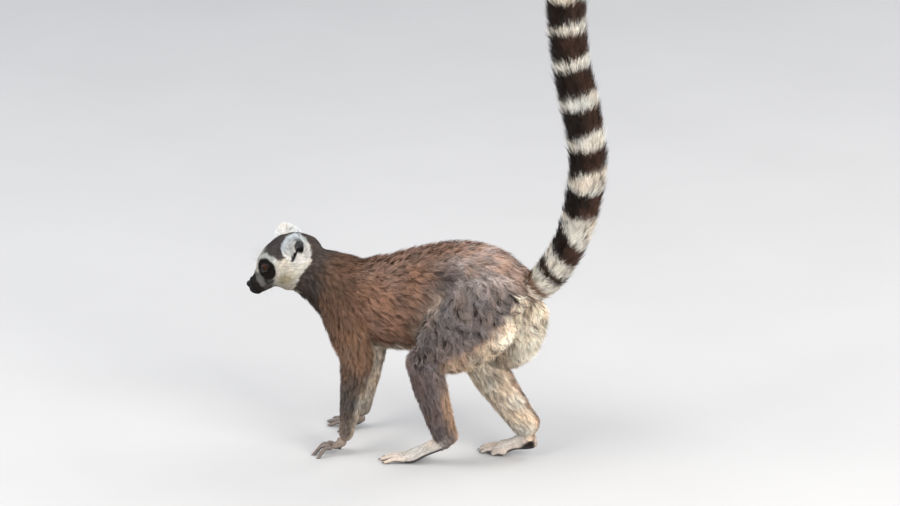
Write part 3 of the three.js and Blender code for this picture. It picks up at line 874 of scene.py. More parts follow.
@dataclass
class Markings:
    """The animal's pattern, with some painted shade and light, worked out from where a point is on it.

    Each part's painter is given places on the part and how ragged the edges are there, and returns linear
    red, green and blue.
    """

    build: Build
    # dark rings of the tail: from, to along its line, slant of the lower and upper edge, brownness
    rings: Rows = (
        (37, 46, 6, 0, 1.0), (64, 77, 2, 6, 0.35), (99, 132, -6, 16, 0.15), (162, 199, 4, 0, 0.1),
        (221, 256, 11, -2, 0.1), (274, 312, 7, -1, 0.1), (327, 365, 5, -1.5, 0.1), (377, 416, 7, 0, 0.1),
        (426, 459, 4, 0, 0.1), (478, 507, 4, 0, 0.1), (525, 553, 4, 0, 0.1), (571, 900, 4, 0, 0.1),
    )  # fmt: skip
    # lower edge of the dark crown in the head's axes: forward and up
    crown_edge: Rows = (
        (-40, -34), (-26, -26), (-16, -12), (-10, 4), (0, 8), (7, 10), (13, 10), (18, 9), (24, 10.5),
        (28, 18), (33, 23.5), (37, 26), (41, 28), (47, 33), (60, 50),
    )  # fmt: skip

    # limits of a colour
    DARKEST, PALEST = 0.003, 0.86
    # half the width of a ring's soft edge
    RING_FADE = 1.4
    # rings that start before the first are rusty, after the second painted browner on their lit rear side,
    # and before the third most so
    RUST_TO, PLAIN_TO, BROWN_TO = 60, 90, 220

    def __post_init__(self) -> None:
        """Seeds the clouds that break the edges."""
        self.cloud = Cloud(SEED + 1)
        self.fine = Cloud(SEED + 2)

    def colour(self, places: Places) -> Array:
        """The coat's colour at points on the skin.

        Args:
            places: the points.

        Returns:
            Linear red, green and blue, one row each.
        """
        ragged = self.cloud.at(places.points, 9.0) + 0.6 * self.fine.at(places.points, 3.5)
        rgb = np.tile(Tint.RUST_FLANK.rgb, (len(places.points), 1))
        for mask, paint in (
            (places.of(Part.TRUNK, Part.NECK), self._trunk),
            (places.of(Part.HEAD), self._head),
            (places.of(Part.LEFT_EAR, Part.RIGHT_EAR), self._ear),
            (places.of(Part.TAIL), self._tail),
            (places.of(Part.LEFT_FORELEG, Part.RIGHT_FORELEG), self._foreleg),
            (places.of(Part.LEFT_THIGH, Part.RIGHT_THIGH), self._thigh),
            (places.of(Part.LEFT_SHANK, Part.RIGHT_SHANK), self._shank),
            (places.of(Part.LEFT_HAND, Part.RIGHT_HAND), self._hand),
            (places.of(Part.LEFT_FOOT, Part.RIGHT_FOOT), self._foot),
        ):
            if mask.any():
                rgb[mask] = paint(places.take(mask), ragged[mask])
        # painted shade in the crease between the buttocks
        rgb = mix(rgb, Tint.TAIL_BROWN.rgb, 0.95 * self.seam(places.points))
        mottle = 1 + 0.10 * self.cloud.at(places.points, 14.0) + 0.08 * self.fine.at(places.points, 5.0)
        warm = np.outer(self.cloud.at(places.points + 300.0, 19.0), (0.10, 0.0, -0.09))
        return np.clip(rgb * (mottle[:, None] + warm), self.DARKEST, self.PALEST)

    def _outward(self, places: Places) -> Array:
        """How far a point of a limb faces away from the body's middle, from -1 to 1."""
        right = places.of(Part.RIGHT_FORELEG, Part.RIGHT_THIGH, Part.RIGHT_SHANK)
        return np.where(right, places.normals[:, 1], -places.normals[:, 1])

    def _trunk(self, places: Places, ragged: Array) -> Array:
        """Charcoal nape, rust shoulders, back and flanks, grey rump and cream underside."""
        x, y, z = places.points.T
        n = places.normals
        back = ease(n[:, 2] + 0.15 * ragged, 0.25, 0.75) * ease(x, -100, -60)
        rump = layered(Tint.RUMP, (Tint.RUMP_GREY, ease(ragged, -0.5, 0.7)))
        grey = ease(x + 10 * ragged, 0, 50) * ease(n[:, 2] + 0.2 * ragged, 0.85, 0.15)
        front = ease(-n[:, 0], 0.25, 0.75) * ease(x, -110, -130) * ease(z, 235, 215)
        front = front * ease(np.abs(y) + 3 * ragged, 24, 14)
        under = np.maximum(ease(-n[:, 2] + 0.12 * ragged, 0.62, 0.92), front)
        rear = ease(x + 3 * ragged, 128, 142) * ease(n[:, 2] + 0.2 * ragged, 0.35, -0.1)
        return layered(
            Tint.NAPE,
            (Tint.RUST_SHOULDER, ease(x + 6 * ragged, -148, -120)),
            (Tint.RUST_FLANK, ease(x + 8 * ragged, -95, -45)),
            (Tint.RUST_BACK, back),
            (rump, ease(x + 10 * ragged, 30, 92)),
            (Tint.HAUNCH, grey * ease(n[:, 2], -0.6, -0.2)),
            (layered(Tint.BELLY, (Tint.THROAT, ease(x, -90, -130))), under),
            (Tint.STRIP, self._strip(places, ragged)),
            (Tint.BUTTOCK, rear),
        )

    @staticmethod
    def seam(points: Array) -> Array:
        """Painted shade in the crease that runs down from beside the tail's root between the buttocks."""
        x, y, z = points.T
        off = x - np.interp(z, [205, 226, 253], [141, 143.5, 157])
        level = ease(z, 198, 210) * ease(z, 262, 254) * ease(y, -28, -22) * ease(y, 26, 19)
        return hill(off, 4.6) * level

    @staticmethod
    def _strip(places: Places, ragged: Array) -> Array:
        """The pale strip on each flank that runs down and forwards along the front of the haunch."""
        x, y, z = places.points.T
        off = ((x - 47) * 0.817 - (z - 247) * 0.576) + 3 * ragged
        along = (x - 47) * 0.576 + (z - 247) * 0.817
        level = ease(np.abs(places.normals[:, 1]), 0.5, 0.8) * np.where(y > 0, 0.4, 1.0)
        return 0.9 * hill(off, 10) * ease(along, -84, -64) * ease(along, 14, -6) * level

    def _head(self, places: Places, ragged: Array) -> Array:
        """White face, dark crown, black eye patches and muzzle, with grey between them; painted shade on the
        lower cheeks, and dark lips with painted shade under the muzzle.
        """
        f, l, u = self.build.head_local(places.points).T
        l = np.abs(l)
        small = 1.2 * ragged
        # painted shade on the lower cheek
        cheek_shade = np.exp(-(((f - 30) / 12) ** 2) - ((u + 17) / 8) ** 2)
        edge = np.interp(f, *np.array(self.crown_edge).T)
        middle = ease(l, 11, 4) * ease(f, 30, 38)
        a, b = (f - 43.5) * 0.33 - (u - 5.5) * 0.945, (f - 43.5) * 0.945 + (u - 5.5) * 0.33
        patch = np.sqrt((a / 15.5) ** 2 + ((b - 1.5) / 12.2) ** 2) + 0.06 * ragged
        grey = ease(f + small, 50, 56) * ease(u, 10, 4)
        lobe = np.sqrt(((f - 50.5) / 7.5) ** 2 + ((u + 8.5) / 8.5) ** 2) + 0.1 * ragged
        slope = 66.2 - 2.2 * ease(u, -10, -18) - 4.2 * ease(u, 3, 11)
        return layered(
            Tint.FACE_WHITE,
            (Tint.CHEEK_OLIVE, np.clip(cheek_shade * (0.9 + 0.5 * ragged), 0, 1)),
            (Tint.CROWN, ease(u + 1.5 * small - edge, -2.0, 1.5) * (1 - 0.3 * middle)),
            (Tint.NAPE, ease(f + 2 * small, -14, -22) * ease(u, -24, -12)),
            (Tint.MUZZLE_GREY, grey * ease(l, 3.5, 6.5)),
            (Tint.PATCH, 0.85 * ease(lobe, 1.25, 0.7) * ease(l, 5.5, 9.0)),
            (Tint.PATCH, ease(patch, 1.10, 0.90) * ease(l, 7.0, 10.5)),
            # dark lips, with painted shade under the muzzle and jaw
            (Tint.JAW, 0.85 * ease(u + small, -14, -18) * ease(f + small, 42, 54)),
            (Tint.BLACK, ease(f + small, slope - 1.8, slope + 1.4)),
            (Tint.BLACK, hill(u - self.mouth_line(f), 0.9) * ease(f, 42, 47) * 0.9),
            (Tint.THROAT, ease(u, -26, -31) * ease(f, 66, 58) * 0.5),
        )

    @staticmethod
    def mouth_line(forward: Array) -> Array:
        """Height of the mouth's line in the head's axes."""
        return np.interp(forward, [40, 44, 58, 70, 80], [-11.0, -11.7, -14.6, -16.2, -15.2])

    def _ear(self, places: Places, ragged: Array) -> Array:
        """White ears with a dark hollow: grey bare skin with painted shade, black in its lower part."""
        rgb = np.tile(Tint.EAR_WHITE.rgb, (len(places.points), 1))
        for part, side in EAR_SIDES.items():
            rows = places.of(part)
            ear = Ear(self.build, side)
            dark = ear.dark(places.points[rows], places.normals[rows])
            # painted shade: the lower part of the hollow is painted black
            low = ease(ear.local(places.points[rows])[2], 32, 22)
            hollow = layered(Tint.EAR_HOLLOW, (Tint.BLACK, low))
            rgb[rows] = mix(rgb[rows], hollow, ease(dark + 0.15 * ragged[rows], 0.2, 0.7))
        return rgb

    def _tail(self, places: Places, ragged: Array) -> Array:
        """Dark rings on white from a tan root, with a long dark tip; on their lit rear side the rings are
        painted browner and paler.
        """
        s = places.share * self.build.tail_loft.length
        front = -places.normals[:, 0]
        wave, fade = 2.0 * ragged, self.RING_FADE
        # painted light: the rear-facing side, where the rear lights fall, makes the dark rings browner and
        # the rusty ones paler
        behind = ease(places.normals[:, 0] + 0.3 * ragged, 0.1, 0.8)
        rgb = layered(Tint.TAIL_BASE, (Tint.TAIL_WHITE, ease(s + 4 * ragged, 20, 42)))
        for start, stop, lower, upper, brown in self.rings:
            rust = start < self.RUST_TO
            side = behind * (0.9 if start < self.BROWN_TO else 0.45)
            dark = layered(
                Tint.TAIL_BLACK,
                (Tint.TAIL_BROWN, brown),
                (Tint.TAIL_BROWN, side * (start > self.PLAIN_TO)),
                (Tint.TAN, (0.25 + 0.6 * side) * rust),
            )
            inside = ease(s + wave, start - lower * front - fade, start - lower * front + fade)
            inside = inside * ease(s + wave, stop + upper * front + fade, stop + upper * front - fade)
            rgb = mix(rgb, dark, inside * (1 - 0.85 * side * rust))
        return rgb

    def _foreleg(self, places: Places, ragged: Array) -> Array:
        """Rust upper arm, charcoal forearm, cream inside."""
        s = places.share + 0.05 * ragged
        inside = ease(self._outward(places) + 0.15 * ragged, -0.25, -0.65)
        rear = ease(places.normals[:, 0] + 0.2 * ragged, 0.4, 1.0) * ease(s, 0.45, 0.75) * 0.7
        return layered(
            Tint.RUST_SHOULDER,
            (Tint.UPPER_ARM, ease(s, 0.1, 0.4)),
            (Tint.FOREARM, ease(s, 0.42, 0.66)),
            (Tint.CREAM, np.maximum(inside * 0.85, rear)),
            (Tint.HAND, np.maximum(0.8 * ease(s, 0.72, 1.05), ease(places.share, 0.95, 0.99))),
        )

    def _thigh(self, places: Places, ragged: Array) -> Array:
        """Grey outside, cream behind and inside, the cream darkened inside and below by painted shade between
        the legs.
        """
        x, _, z = places.points.T
        outward = self._outward(places) + 0.1 * ragged
        behind = ease(x + 5 * ragged, 40, 74)
        below = ease(places.up + 0.16 * ragged, -0.44, -0.86) * ease(places.share, 0.95, 0.75) * behind
        rim = 0.7 * ease(places.up + 0.10 * ragged, -0.44, -0.58) * (1 - below) * behind
        return layered(
            Tint.HAUNCH,
            (Tint.RUMP_GREY, ease(z + 10 * ragged, 240, 300) * 0.85),
            (Tint.SHANK, ease(z + 6 * ragged, 190, 160) * 0.3),
            (Tint.STRIP, 0.7 * self._strip(places, ragged)),
            (Tint.TAN, rim),
            # painted shade: underside and inside of the thigh get a darkened cream towards the front
            (layered(Tint.INNER, (Tint.BUTTOCK, ease(x, 106, 148))), below),
            (layered(Tint.INNER, (Tint.BUTTOCK, ease(x, 95, 135))), ease(outward, 0.10, -0.35)),
        )

    def _shank(self, places: Places, ragged: Array) -> Array:
        """Grey-brown outside, cream inside, tan behind and white down to the foot, with a spot of painted
        shade behind the right knee.
        """
        s = places.share
        ahead = ease(places.normals[:, 0], 0.5, -0.1)
        inside = ease(self._outward(places) + 0.1 * ragged, -0.05, -0.5)
        rear = ease(places.normals[:, 0] + 0.2 * ragged, 0.35, 1.0) * ease(s, 0.3, 0.55)
        return layered(
            Tint.SHANK,
            (Tint.TAN, rear * 0.8),
            (layered(Tint.CREAM, (Tint.TAN, rear * 0.6)), inside),
            # painted shade: a dark spot behind the right knee
            (Tint.JAW, bump(places.points, (87, 38, 114), (12, 9, 8))),
            (Tint.WHITE, ease(s + 0.05 * ragged, 0.86, 1.0) * ahead),
        )

    def _hand(self, places: Places, ragged: Array) -> Array:
        """Pale backs, dark digits, bare palms."""
        digit = ease(places.coat, 1.1, 0.8)
        return layered(
            Tint.HAND,
            (Tint.DIGIT, digit * ease(ragged, -0.9, 0.2) * 0.8),
            (Tint.BARE, ease(-places.normals[:, 2], 0.35, 0.7)),
        )

    def _foot(self, places: Places, ragged: Array) -> Array:
        """White backs, greyer heels, bare soles."""
        x, _, z = places.points.T
        heel = ease(places.share, 0.22, 0.04) * ease(places.coat, 1.9, 2.1)
        right = places.of(Part.RIGHT_FOOT)
        sole = right * ease(x + 3 * ragged, 112, 122) * ease(x, 152, 147) * ease(z - 0.9 * (x - 120), 16, 10)
        return layered(
            Tint.WHITE,
            (Tint.SHANK, heel * 0.35),
            (Tint.HAND, ease(places.coat, 1.1, 0.8) * 0.35),
            (Tint.BARE, sole * ease(-places.normals[:, 1], 0.1, 0.5)),
            (Tint.BARE, ease(-places.normals[:, 2], 0.3, 0.65)),
        )


# ---------------- finishes


@dataclass
class Shader:
    """A node material under construction."""

    name: str

    def __post_init__(self) -> None:
        """Starts a material that holds a Principled shader."""
        self.material = bpy.data.materials.new(self.name)
        self.material.use_nodes = True
        self.nodes = self.material.node_tree.nodes
        self.links = self.material.node_tree.links
        self.surface = self.nodes["Principled BSDF"]

    def node(self, kind: str, **settings: object) -> Node:
        """Adds a node with its settings."""
        return self.set(self.nodes.new(kind), **settings)

    @staticmethod
    def set(node: Node, **settings: object) -> Node:
        """Sets a node's properties, or its sockets where the name starts with a capital."""
        for name, value in settings.items():
            if name[0].isupper():
                node.inputs[name.replace("_", " ")].default_value = value
            else:
                setattr(node, name, value)
        return node

    def link(self, source: Node, out: str | int, target: Node, into: str | int) -> None:
        """Joins an output to an input."""
        self.links.new(source.outputs[out], target.inputs[into])

    def noise(self, scale: float, detail: float = 3.0, roughness: float = 0.5) -> Node:
        """A noise on Object coordinates, so it stays with the piece."""
        place = self.node("ShaderNodeTexCoord")
        noise = self.node("ShaderNodeTexNoise", Scale=scale, Detail=detail, Roughness=roughness)
        self.link(place, "Object", noise, "Vector")
        return noise

    def ramp(
        self, source: Node, low: float, high: float, start: float, stop: float
    ) -> Node:
        """Spreads a value's range from low to high over start to stop."""
        node = self.node("ShaderNodeMapRange", From_Min=low, From_Max=high, To_Min=start, To_Max=stop)
        self.link(source, 0, node, "Value")
        return node

    def spread(self, source: Node, start: float, stop: float) -> Node:
        """Spreads the middle of a noise's range over start to stop."""
        return self.ramp(source, 0.3, 0.7, start, stop)

    def drive(self, socket: str, value: Node) -> None:
        """Feeds a value to one of the surface's own sockets."""
        self.link(value, 0, self.surface, socket)

    def tinted(self, attribute: str, shade: Node) -> None:
        """Colours the surface by a colour attribute times a value."""
        tint = self.node("ShaderNodeAttribute", attribute_name=attribute)
        times = self.node("ShaderNodeVectorMath", operation="SCALE")
        self.link(tint, "Color", times, 0)
        self.link(shade, 0, times, "Scale")
        self.drive("Base Color", times)

    def raise_by(self, height: Node, strength: float, distance: float) -> None:
        """Adds a bump from a height."""
        node = self.node("ShaderNodeBump", Strength=strength, Distance=distance)
        self.link(height, 0, node, "Height")
        self.link(node, "Normal", self.surface, "Normal")


@dataclass(frozen=True)
class FurFinish:
    """Fur: the attribute's colour with fine streaks, soft and dull."""

    name: str
    roughness: float = 0.75
    sheen: float = 0.03

    def material(self) -> Material:
        """Builds the material."""
        shader = Shader(self.name)
        place = shader.node("ShaderNodeUVMap", uv_map="OFBake")
        stretch = shader.node("ShaderNodeMapping", Scale=(1700.0, 260.0, 1.0))
        streaks = shader.node("ShaderNodeTexNoise", Scale=1.0, Detail=1.0)
        shader.link(place, 0, stretch, 0)
        shader.link(stretch, 0, streaks, "Vector")
        shader.tinted("tint", shader.ramp(streaks, 0.34, 0.66, 0.62, 1.38))
        dull = shader.spread(shader.noise(160.0), self.roughness - 0.08, self.roughness + 0.08)
        shader.drive("Roughness", dull)
        shader.raise_by(streaks, 0.35, 0.0003)
        shader.set(shader.surface, Specular_IOR_Level=0.12, Sheen_Weight=self.sheen, Sheen_Roughness=0.5)
        return shader.material


@dataclass(frozen=True)
class SkinFinish:
    """Skin with its flat underfur: the attribute's colour, with fine grain."""

    name: str = "short_fur_and_skin"

    def material(self) -> Material:
        """Builds the material."""
        shader = Shader(self.name)
        grain = shader.noise(900.0, 2.0)
        shader.tinted("tint", shader.spread(grain, 0.75, 1.2))
        shader.drive("Roughness", shader.spread(shader.noise(220.0), 0.6, 0.8))
        shader.raise_by(grain, 0.5, 0.0005)
        shader.set(shader.surface, Specular_IOR_Level=0.3, Sheen_Weight=0.03, Sheen_Roughness=0.5)
        return shader.material


@dataclass(frozen=True)
class LeatherFinish:
    """Bare moist or horny skin, pebbled."""

    name: str
    colour: Triple
    roughness: float
    pebble: float

    def material(self) -> Material:
        """Builds the material."""
        shader = Shader(self.name)
        place = shader.node("ShaderNodeTexCoord")
        cells = shader.node("ShaderNodeTexVoronoi", Scale=self.pebble, feature="DISTANCE_TO_EDGE")
        shader.link(place, "Object", cells, "Vector")
        tone = shader.node("ShaderNodeMix", data_type="RGBA")
        for socket, share in (("A", 0.7), ("B", 1.6)):
            tone.inputs[socket].default_value = (*(c * share for c in self.colour), 1.0)
        shader.link(shader.spread(shader.noise(400.0), 0.0, 1.0), 0, tone, "Factor")
        shader.link(tone, "Result", shader.surface, "Base Color")
        shader.drive("Roughness", shader.ramp(cells, 0.0, 0.3, self.roughness + 0.15, self.roughness))
        shader.raise_by(cells, 0.4, 0.0003)
        shader.set(shader.surface, Specular_IOR_Level=0.2)
        return shader.material


@dataclass(frozen=True)
class EyeFinish:
    """Wet eye: the iris's painted colours under a clear coat."""

    name: str = "wet_eye"

    def material(self) -> Material:
        """Builds the material."""
        shader = Shader(self.name)
        shader.tinted("tint", shader.spread(shader.noise(1500.0), 0.85, 1.15))
        shader.drive("Roughness", shader.spread(shader.noise(300.0), 0.04, 0.08))
        shader.raise_by(shader.noise(2500.0), 0.02, 0.0001)
        shader.set(shader.surface, Specular_IOR_Level=0.10, Coat_Weight=0.02, Coat_Roughness=0.03)
        return shader.material


# ---------------- meshes


def make_piece(
    name: str,
    points: Array,
    corners: Array,
    starts: Array,
    material: Material,
    tint: Array | None = None,
    normals: Array | None = None,
    uv: Array | None = None,
) -> Object:
    """Makes one piece from arrays.

    Args:
        name: of the piece.
        points: in the drawing frame.
        corners: the point at each face corner, face after face.
        starts: each face's first corner.
        material: what it is made of.
        tint: a colour for each point.
        normals: a shading direction for each point.
        uv: a place on the unwrap for each corner.

    Returns:
        The object, riding on the body of the model.
    """
    mesh = bpy.data.meshes.new(name)
    mesh.vertices.add(len(points))
    mesh.vertices.foreach_set("co", to_frame(points).astype(np.float32).ravel())
    mesh.loops.add(len(corners))
    mesh.loops.foreach_set("vertex_index", corners.astype(np.int32))
    mesh.polygons.add(len(starts))
    mesh.polygons.foreach_set("loop_start", starts.astype(np.int32))
    mesh.update(calc_edges=True)
    mesh.polygons.foreach_set("use_smooth", np.ones(len(starts), bool))
    if tint is not None:
        layer = mesh.attributes.new("tint", "FLOAT_COLOR", "POINT")
        rgba = np.column_stack([tint, np.ones(len(tint))])
        layer.data.foreach_set("color", rgba.astype(np.float32).ravel())
    if uv is not None:
        mesh.uv_layers.new(name="OFBake").uv.foreach_set("vector", uv.astype(np.float32).ravel())
    if normals is not None:
        layer = mesh.attributes.new("custom_normal", "FLOAT_VECTOR", "POINT")
        layer.data.foreach_set("vector", unit(normals).astype(np.float32).ravel())
    mesh.materials.append(material)
    piece = bpy.data.objects.new(name, mesh)
    bpy.context.scene.collection.objects.link(piece)
    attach(piece, "root")
    return piece


def read_rows(items: bpy.types.bpy_prop_collection, name: str, width: int, kind: type = np.int32) -> Array:
    """A property of a mesh's points, edges or faces, one row each."""
    out = np.empty(len(items) * width, kind)
    items.foreach_get(name, out)
    return out.reshape(-1, width)


def mesh_points(mesh: Mesh) -> Array:
    """A mesh's points."""
    return read_rows(mesh.vertices, "co", 3, np.float32).astype(float)


def mesh_normals(mesh: Mesh) -> Array:
    """The directions of a mesh's points."""
    return read_rows(mesh.vertex_normals, "vector", 3, np.float32).astype(float)


def move_points(mesh: Mesh, points: Array) -> None:
    """Puts a mesh's points where they are told."""
    mesh.vertices.foreach_set("co", points.astype(np.float32).ravel())
    mesh.update()


class Web:
    """Which points of a mesh share an edge."""

    def __init__(self, edges: Array, count: int) -> None:
        """Sorts the edges by their first point.

        Args:
            edges: pairs of points.
            count: how many points there are.
        """
        first, second = np.concatenate([edges, edges[:, ::-1]]).T
        self.other = second[np.argsort(first, kind="stable")]
        self.count = np.bincount(first, minlength=count)
        self.start = np.concatenate([[0], np.cumsum(self.count)[:-1]])

    def mean(self, values: Array) -> Array:
        """For each point, the mean of the values at the points that it shares an edge with."""
        total = np.add.reduceat(values[self.other], self.start, axis=0)
        return total / (self.count if values.ndim == 1 else self.count[:, None])


def quad_normals(points: Array, quads: Array) -> Array:
    """Each point's direction: the sum of its faces' diagonals' cross products, scaled to one."""
    a, b, c, d = (points[quads[:, k]] for k in range(4))
    across = np.cross(c - a, d - b)
    flat, n = quads.ravel(), len(points)
    return unit(np.stack([np.bincount(flat, np.repeat(across[:, k], 4), n) for k in range(3)], -1))


def with_modifier(
    mesh: Mesh, kind: str, weights: Array | None = None, **settings: object
) -> Mesh:
    """Runs one modifier on a scratch object.

    Args:
        mesh: what to work on.
        kind: of modifier.
        weights: a vertex group for it.
        settings: its properties.

    Returns:
        The new mesh.
    """
    scratch = bpy.data.objects.new("scratch", mesh)
    bpy.context.scene.collection.objects.link(scratch)
    modifier = scratch.modifiers.new("work", kind)
    if weights is not None:
        group = scratch.vertex_groups.new(name="keep")
        levels = np.round(weights, 1)
        for level in np.unique(levels):
            group.add(np.flatnonzero(levels == level).tolist(), float(level), "REPLACE")
        modifier.vertex_group = "keep"
    for name, value in settings.items():
        setattr(modifier, name, value)
    bpy.context.view_layer.update()
    evaluated = scratch.evaluated_get(bpy.context.evaluated_depsgraph_get())
    made = bpy.data.meshes.new_from_object(evaluated)
    bpy.data.objects.remove(scratch)
    bpy.data.meshes.remove(mesh)
    return made


# ---------------- skin


@dataclass
class Ear:
    """The open side of an ear, in the ear's own axes: the way it opens, across it, and root to tip."""

    build: Build
    side: str

    def __post_init__(self) -> None:
        """Works out which way across the ear is rearwards."""
        self.place = self.build.ear_place(self.side)
        self.rear = -math.copysign(1.0, self.place[:3, 1] @ self.build.head_axes[:, 0])

    def local(self, points: Array) -> tuple[Array, Array, Array]:
        """How far points are along the opening, to the rear and up the ear."""
        face, across, rise = unmoved(points, self.place).T
        return face, across * self.rear, rise

    def world(self, face: Array, rear: Array, rise: Array) -> Array:
        """The reverse of `local`."""
        return moved(np.column_stack([face, rear * self.rear, rise]), self.place)

    @staticmethod
    def bowl(rear: Array, rise: Array) -> Array:
        """The whole open side: 0 at its rim and 1 in its middle."""
        return ease(1 - ((rear - 1) / 17) ** 2 - ((rise - 24) / 21) ** 2, 0.0, 0.8)

    @staticmethod
    def pit(rear: Array, rise: Array) -> Array:
        """The dark pit towards the rear, and the slit that runs from it down and forwards."""
        pit = ease(1 - ((rear - 4.5) / 8.5) ** 2 - ((rise - 27) / 14) ** 2, 0.0, 0.5)
        slit = hill(rear - 3.5 + (22 - rise) * 0.52, 2.3) * ease(rise, 2, 5) * ease(rise, 26, 20)
        return np.maximum(pit, slit)

    def scooped(self, points: Array) -> Array:
        """Hollows the open side, with a low ridge across the pit.

        Args:
            points: of the ear's leaf, in the drawing frame.

        Returns:
            The moved points.
        """
        face, rear, rise = self.local(points)
        ridge = 1.5 * hill(rise - 25 - 0.25 * rear, 1.8) * hill(rear - 2, 5)
        floor = 0.8 - 3.2 * self.pit(rear, rise) + ridge
        deep = self.bowl(rear, rise) * (face > floor)
        return self.world(face - deep * (face - floor), rear, rise)

    def dark(self, points: Array, normals: Array) -> Array:
        """How dark the open side is painted, from 0 to 1: its grey bare skin with painted shade in the pit
        and slit, less over the ridge across the pit.
        """
        _, rear, rise = self.local(points)
        ridge = hill(rise - 25 - 0.25 * rear, 1.6) * hill(rear - 1.5, 4.5)
        facing = ease(normals @ self.place[:3, 0], -0.1, 0.3)
        return self.pit(rear, rise) * (1 - 0.8 * ridge) * facing

    def fan(self, points: Array) -> Array:
        """The way the hairs spread: out from the ear's root towards its rim."""
        _, rear, rise = self.local(points)
        return unit(self.world(0 * rear, rear / 20, 0.4 + (rise - 16) / 24) - self.place[:3, 3])


@dataclass
class EyeSet:
    """Where the eyes are in the head's axes, and how they look out."""

    forward: float = 42.7
    out: float = 14.0
    up: float = 9.0
    radius: float = 8.2
    gaze: Triple = (0.62, 0.76, 0.14)
    opening: tuple[float, float] = (41.0, 34.0)
    # how far the lids' edge and the skin behind the eyeball are from its centre
    lid: float = 9.0
    behind: float = 6.4
    # how far from the centre, and how many degrees off the gaze, the skin is shaped
    reach: float = 16.0
    widest: float = 130.0

    def frame(self, sign: int) -> tuple[Array, Array]:
        """The eye's centre, and its axes as columns: gaze, towards the nose, up.

        Args:
            sign: 1 for the left eye and -1 for the right.

        Returns:
            Both in the head's axes.
        """
        centre = np.array([self.forward, sign * self.out, self.up])
        gaze = unit(np.array([self.gaze[0], sign * self.gaze[1], self.gaze[2]]))
        nose = np.array([0.80, -sign * 0.50, -0.30])
        nose = unit(nose - gaze * (nose @ gaze))
        rise = np.cross(gaze, nose)
        rise = rise if rise[2] > 0 else -rise
        return centre, np.stack([gaze, nose, rise], 1)

    def polar(self, points: Array, sign: int) -> tuple[Array, Array, Array]:
        """Distance from the eye's centre, and the angle off the gaze as a share of the opening's.

        Args:
            points: in the head's axes.
            sign: which eye.

        Returns:
            Distances, shares and angles in degrees.
        """
        centre, axes = self.frame(sign)
        g, a, b = ((points - centre) @ axes).T
        off = np.degrees(np.arctan2(np.hypot(a, b), g))
        turn = np.arctan2(b, a)
        corner = 1 + 0.22 * np.clip(np.cos(turn), 0, 1) ** 6 + 0.10 * np.clip(-np.cos(turn), 0, 1) ** 6
        wide, high = self.opening
        limit = corner / np.sqrt((np.cos(turn) / wide) ** 2 + (np.sin(turn) / high) ** 2)
        return np.linalg.norm(points - centre, axis=1), off / limit, off

    def lids(self, points: Array, sign: int) -> Array:
        """Shapes the lids: inside the opening the skin drops behind the eyeball, at its edge it stands just
        proud of it, and further out it blends into the socket.

        Args:
            points: in the head's axes.
            sign: which eye.

        Returns:
            The moved points.
        """
        centre, _ = self.frame(sign)
        distance, share, off = self.polar(points, sign)
        near = (distance < self.reach) & (off < self.widest)
        rim = self.lid + 0.5 * hill(share - 1.12, 0.10)
        outside = np.maximum(distance, rim)
        outside = distance + (outside - distance) * ease(off, 125, 95)
        raised = self.behind + (outside - self.behind) * ease(share, 1.0, 1.07)
        wanted = np.where(share < 1.0, self.behind, raised)
        shaped = centre + (points - centre) * (wanted / np.maximum(distance, 1e-6))[:, None]
        return np.where(near[:, None], shaped, points)


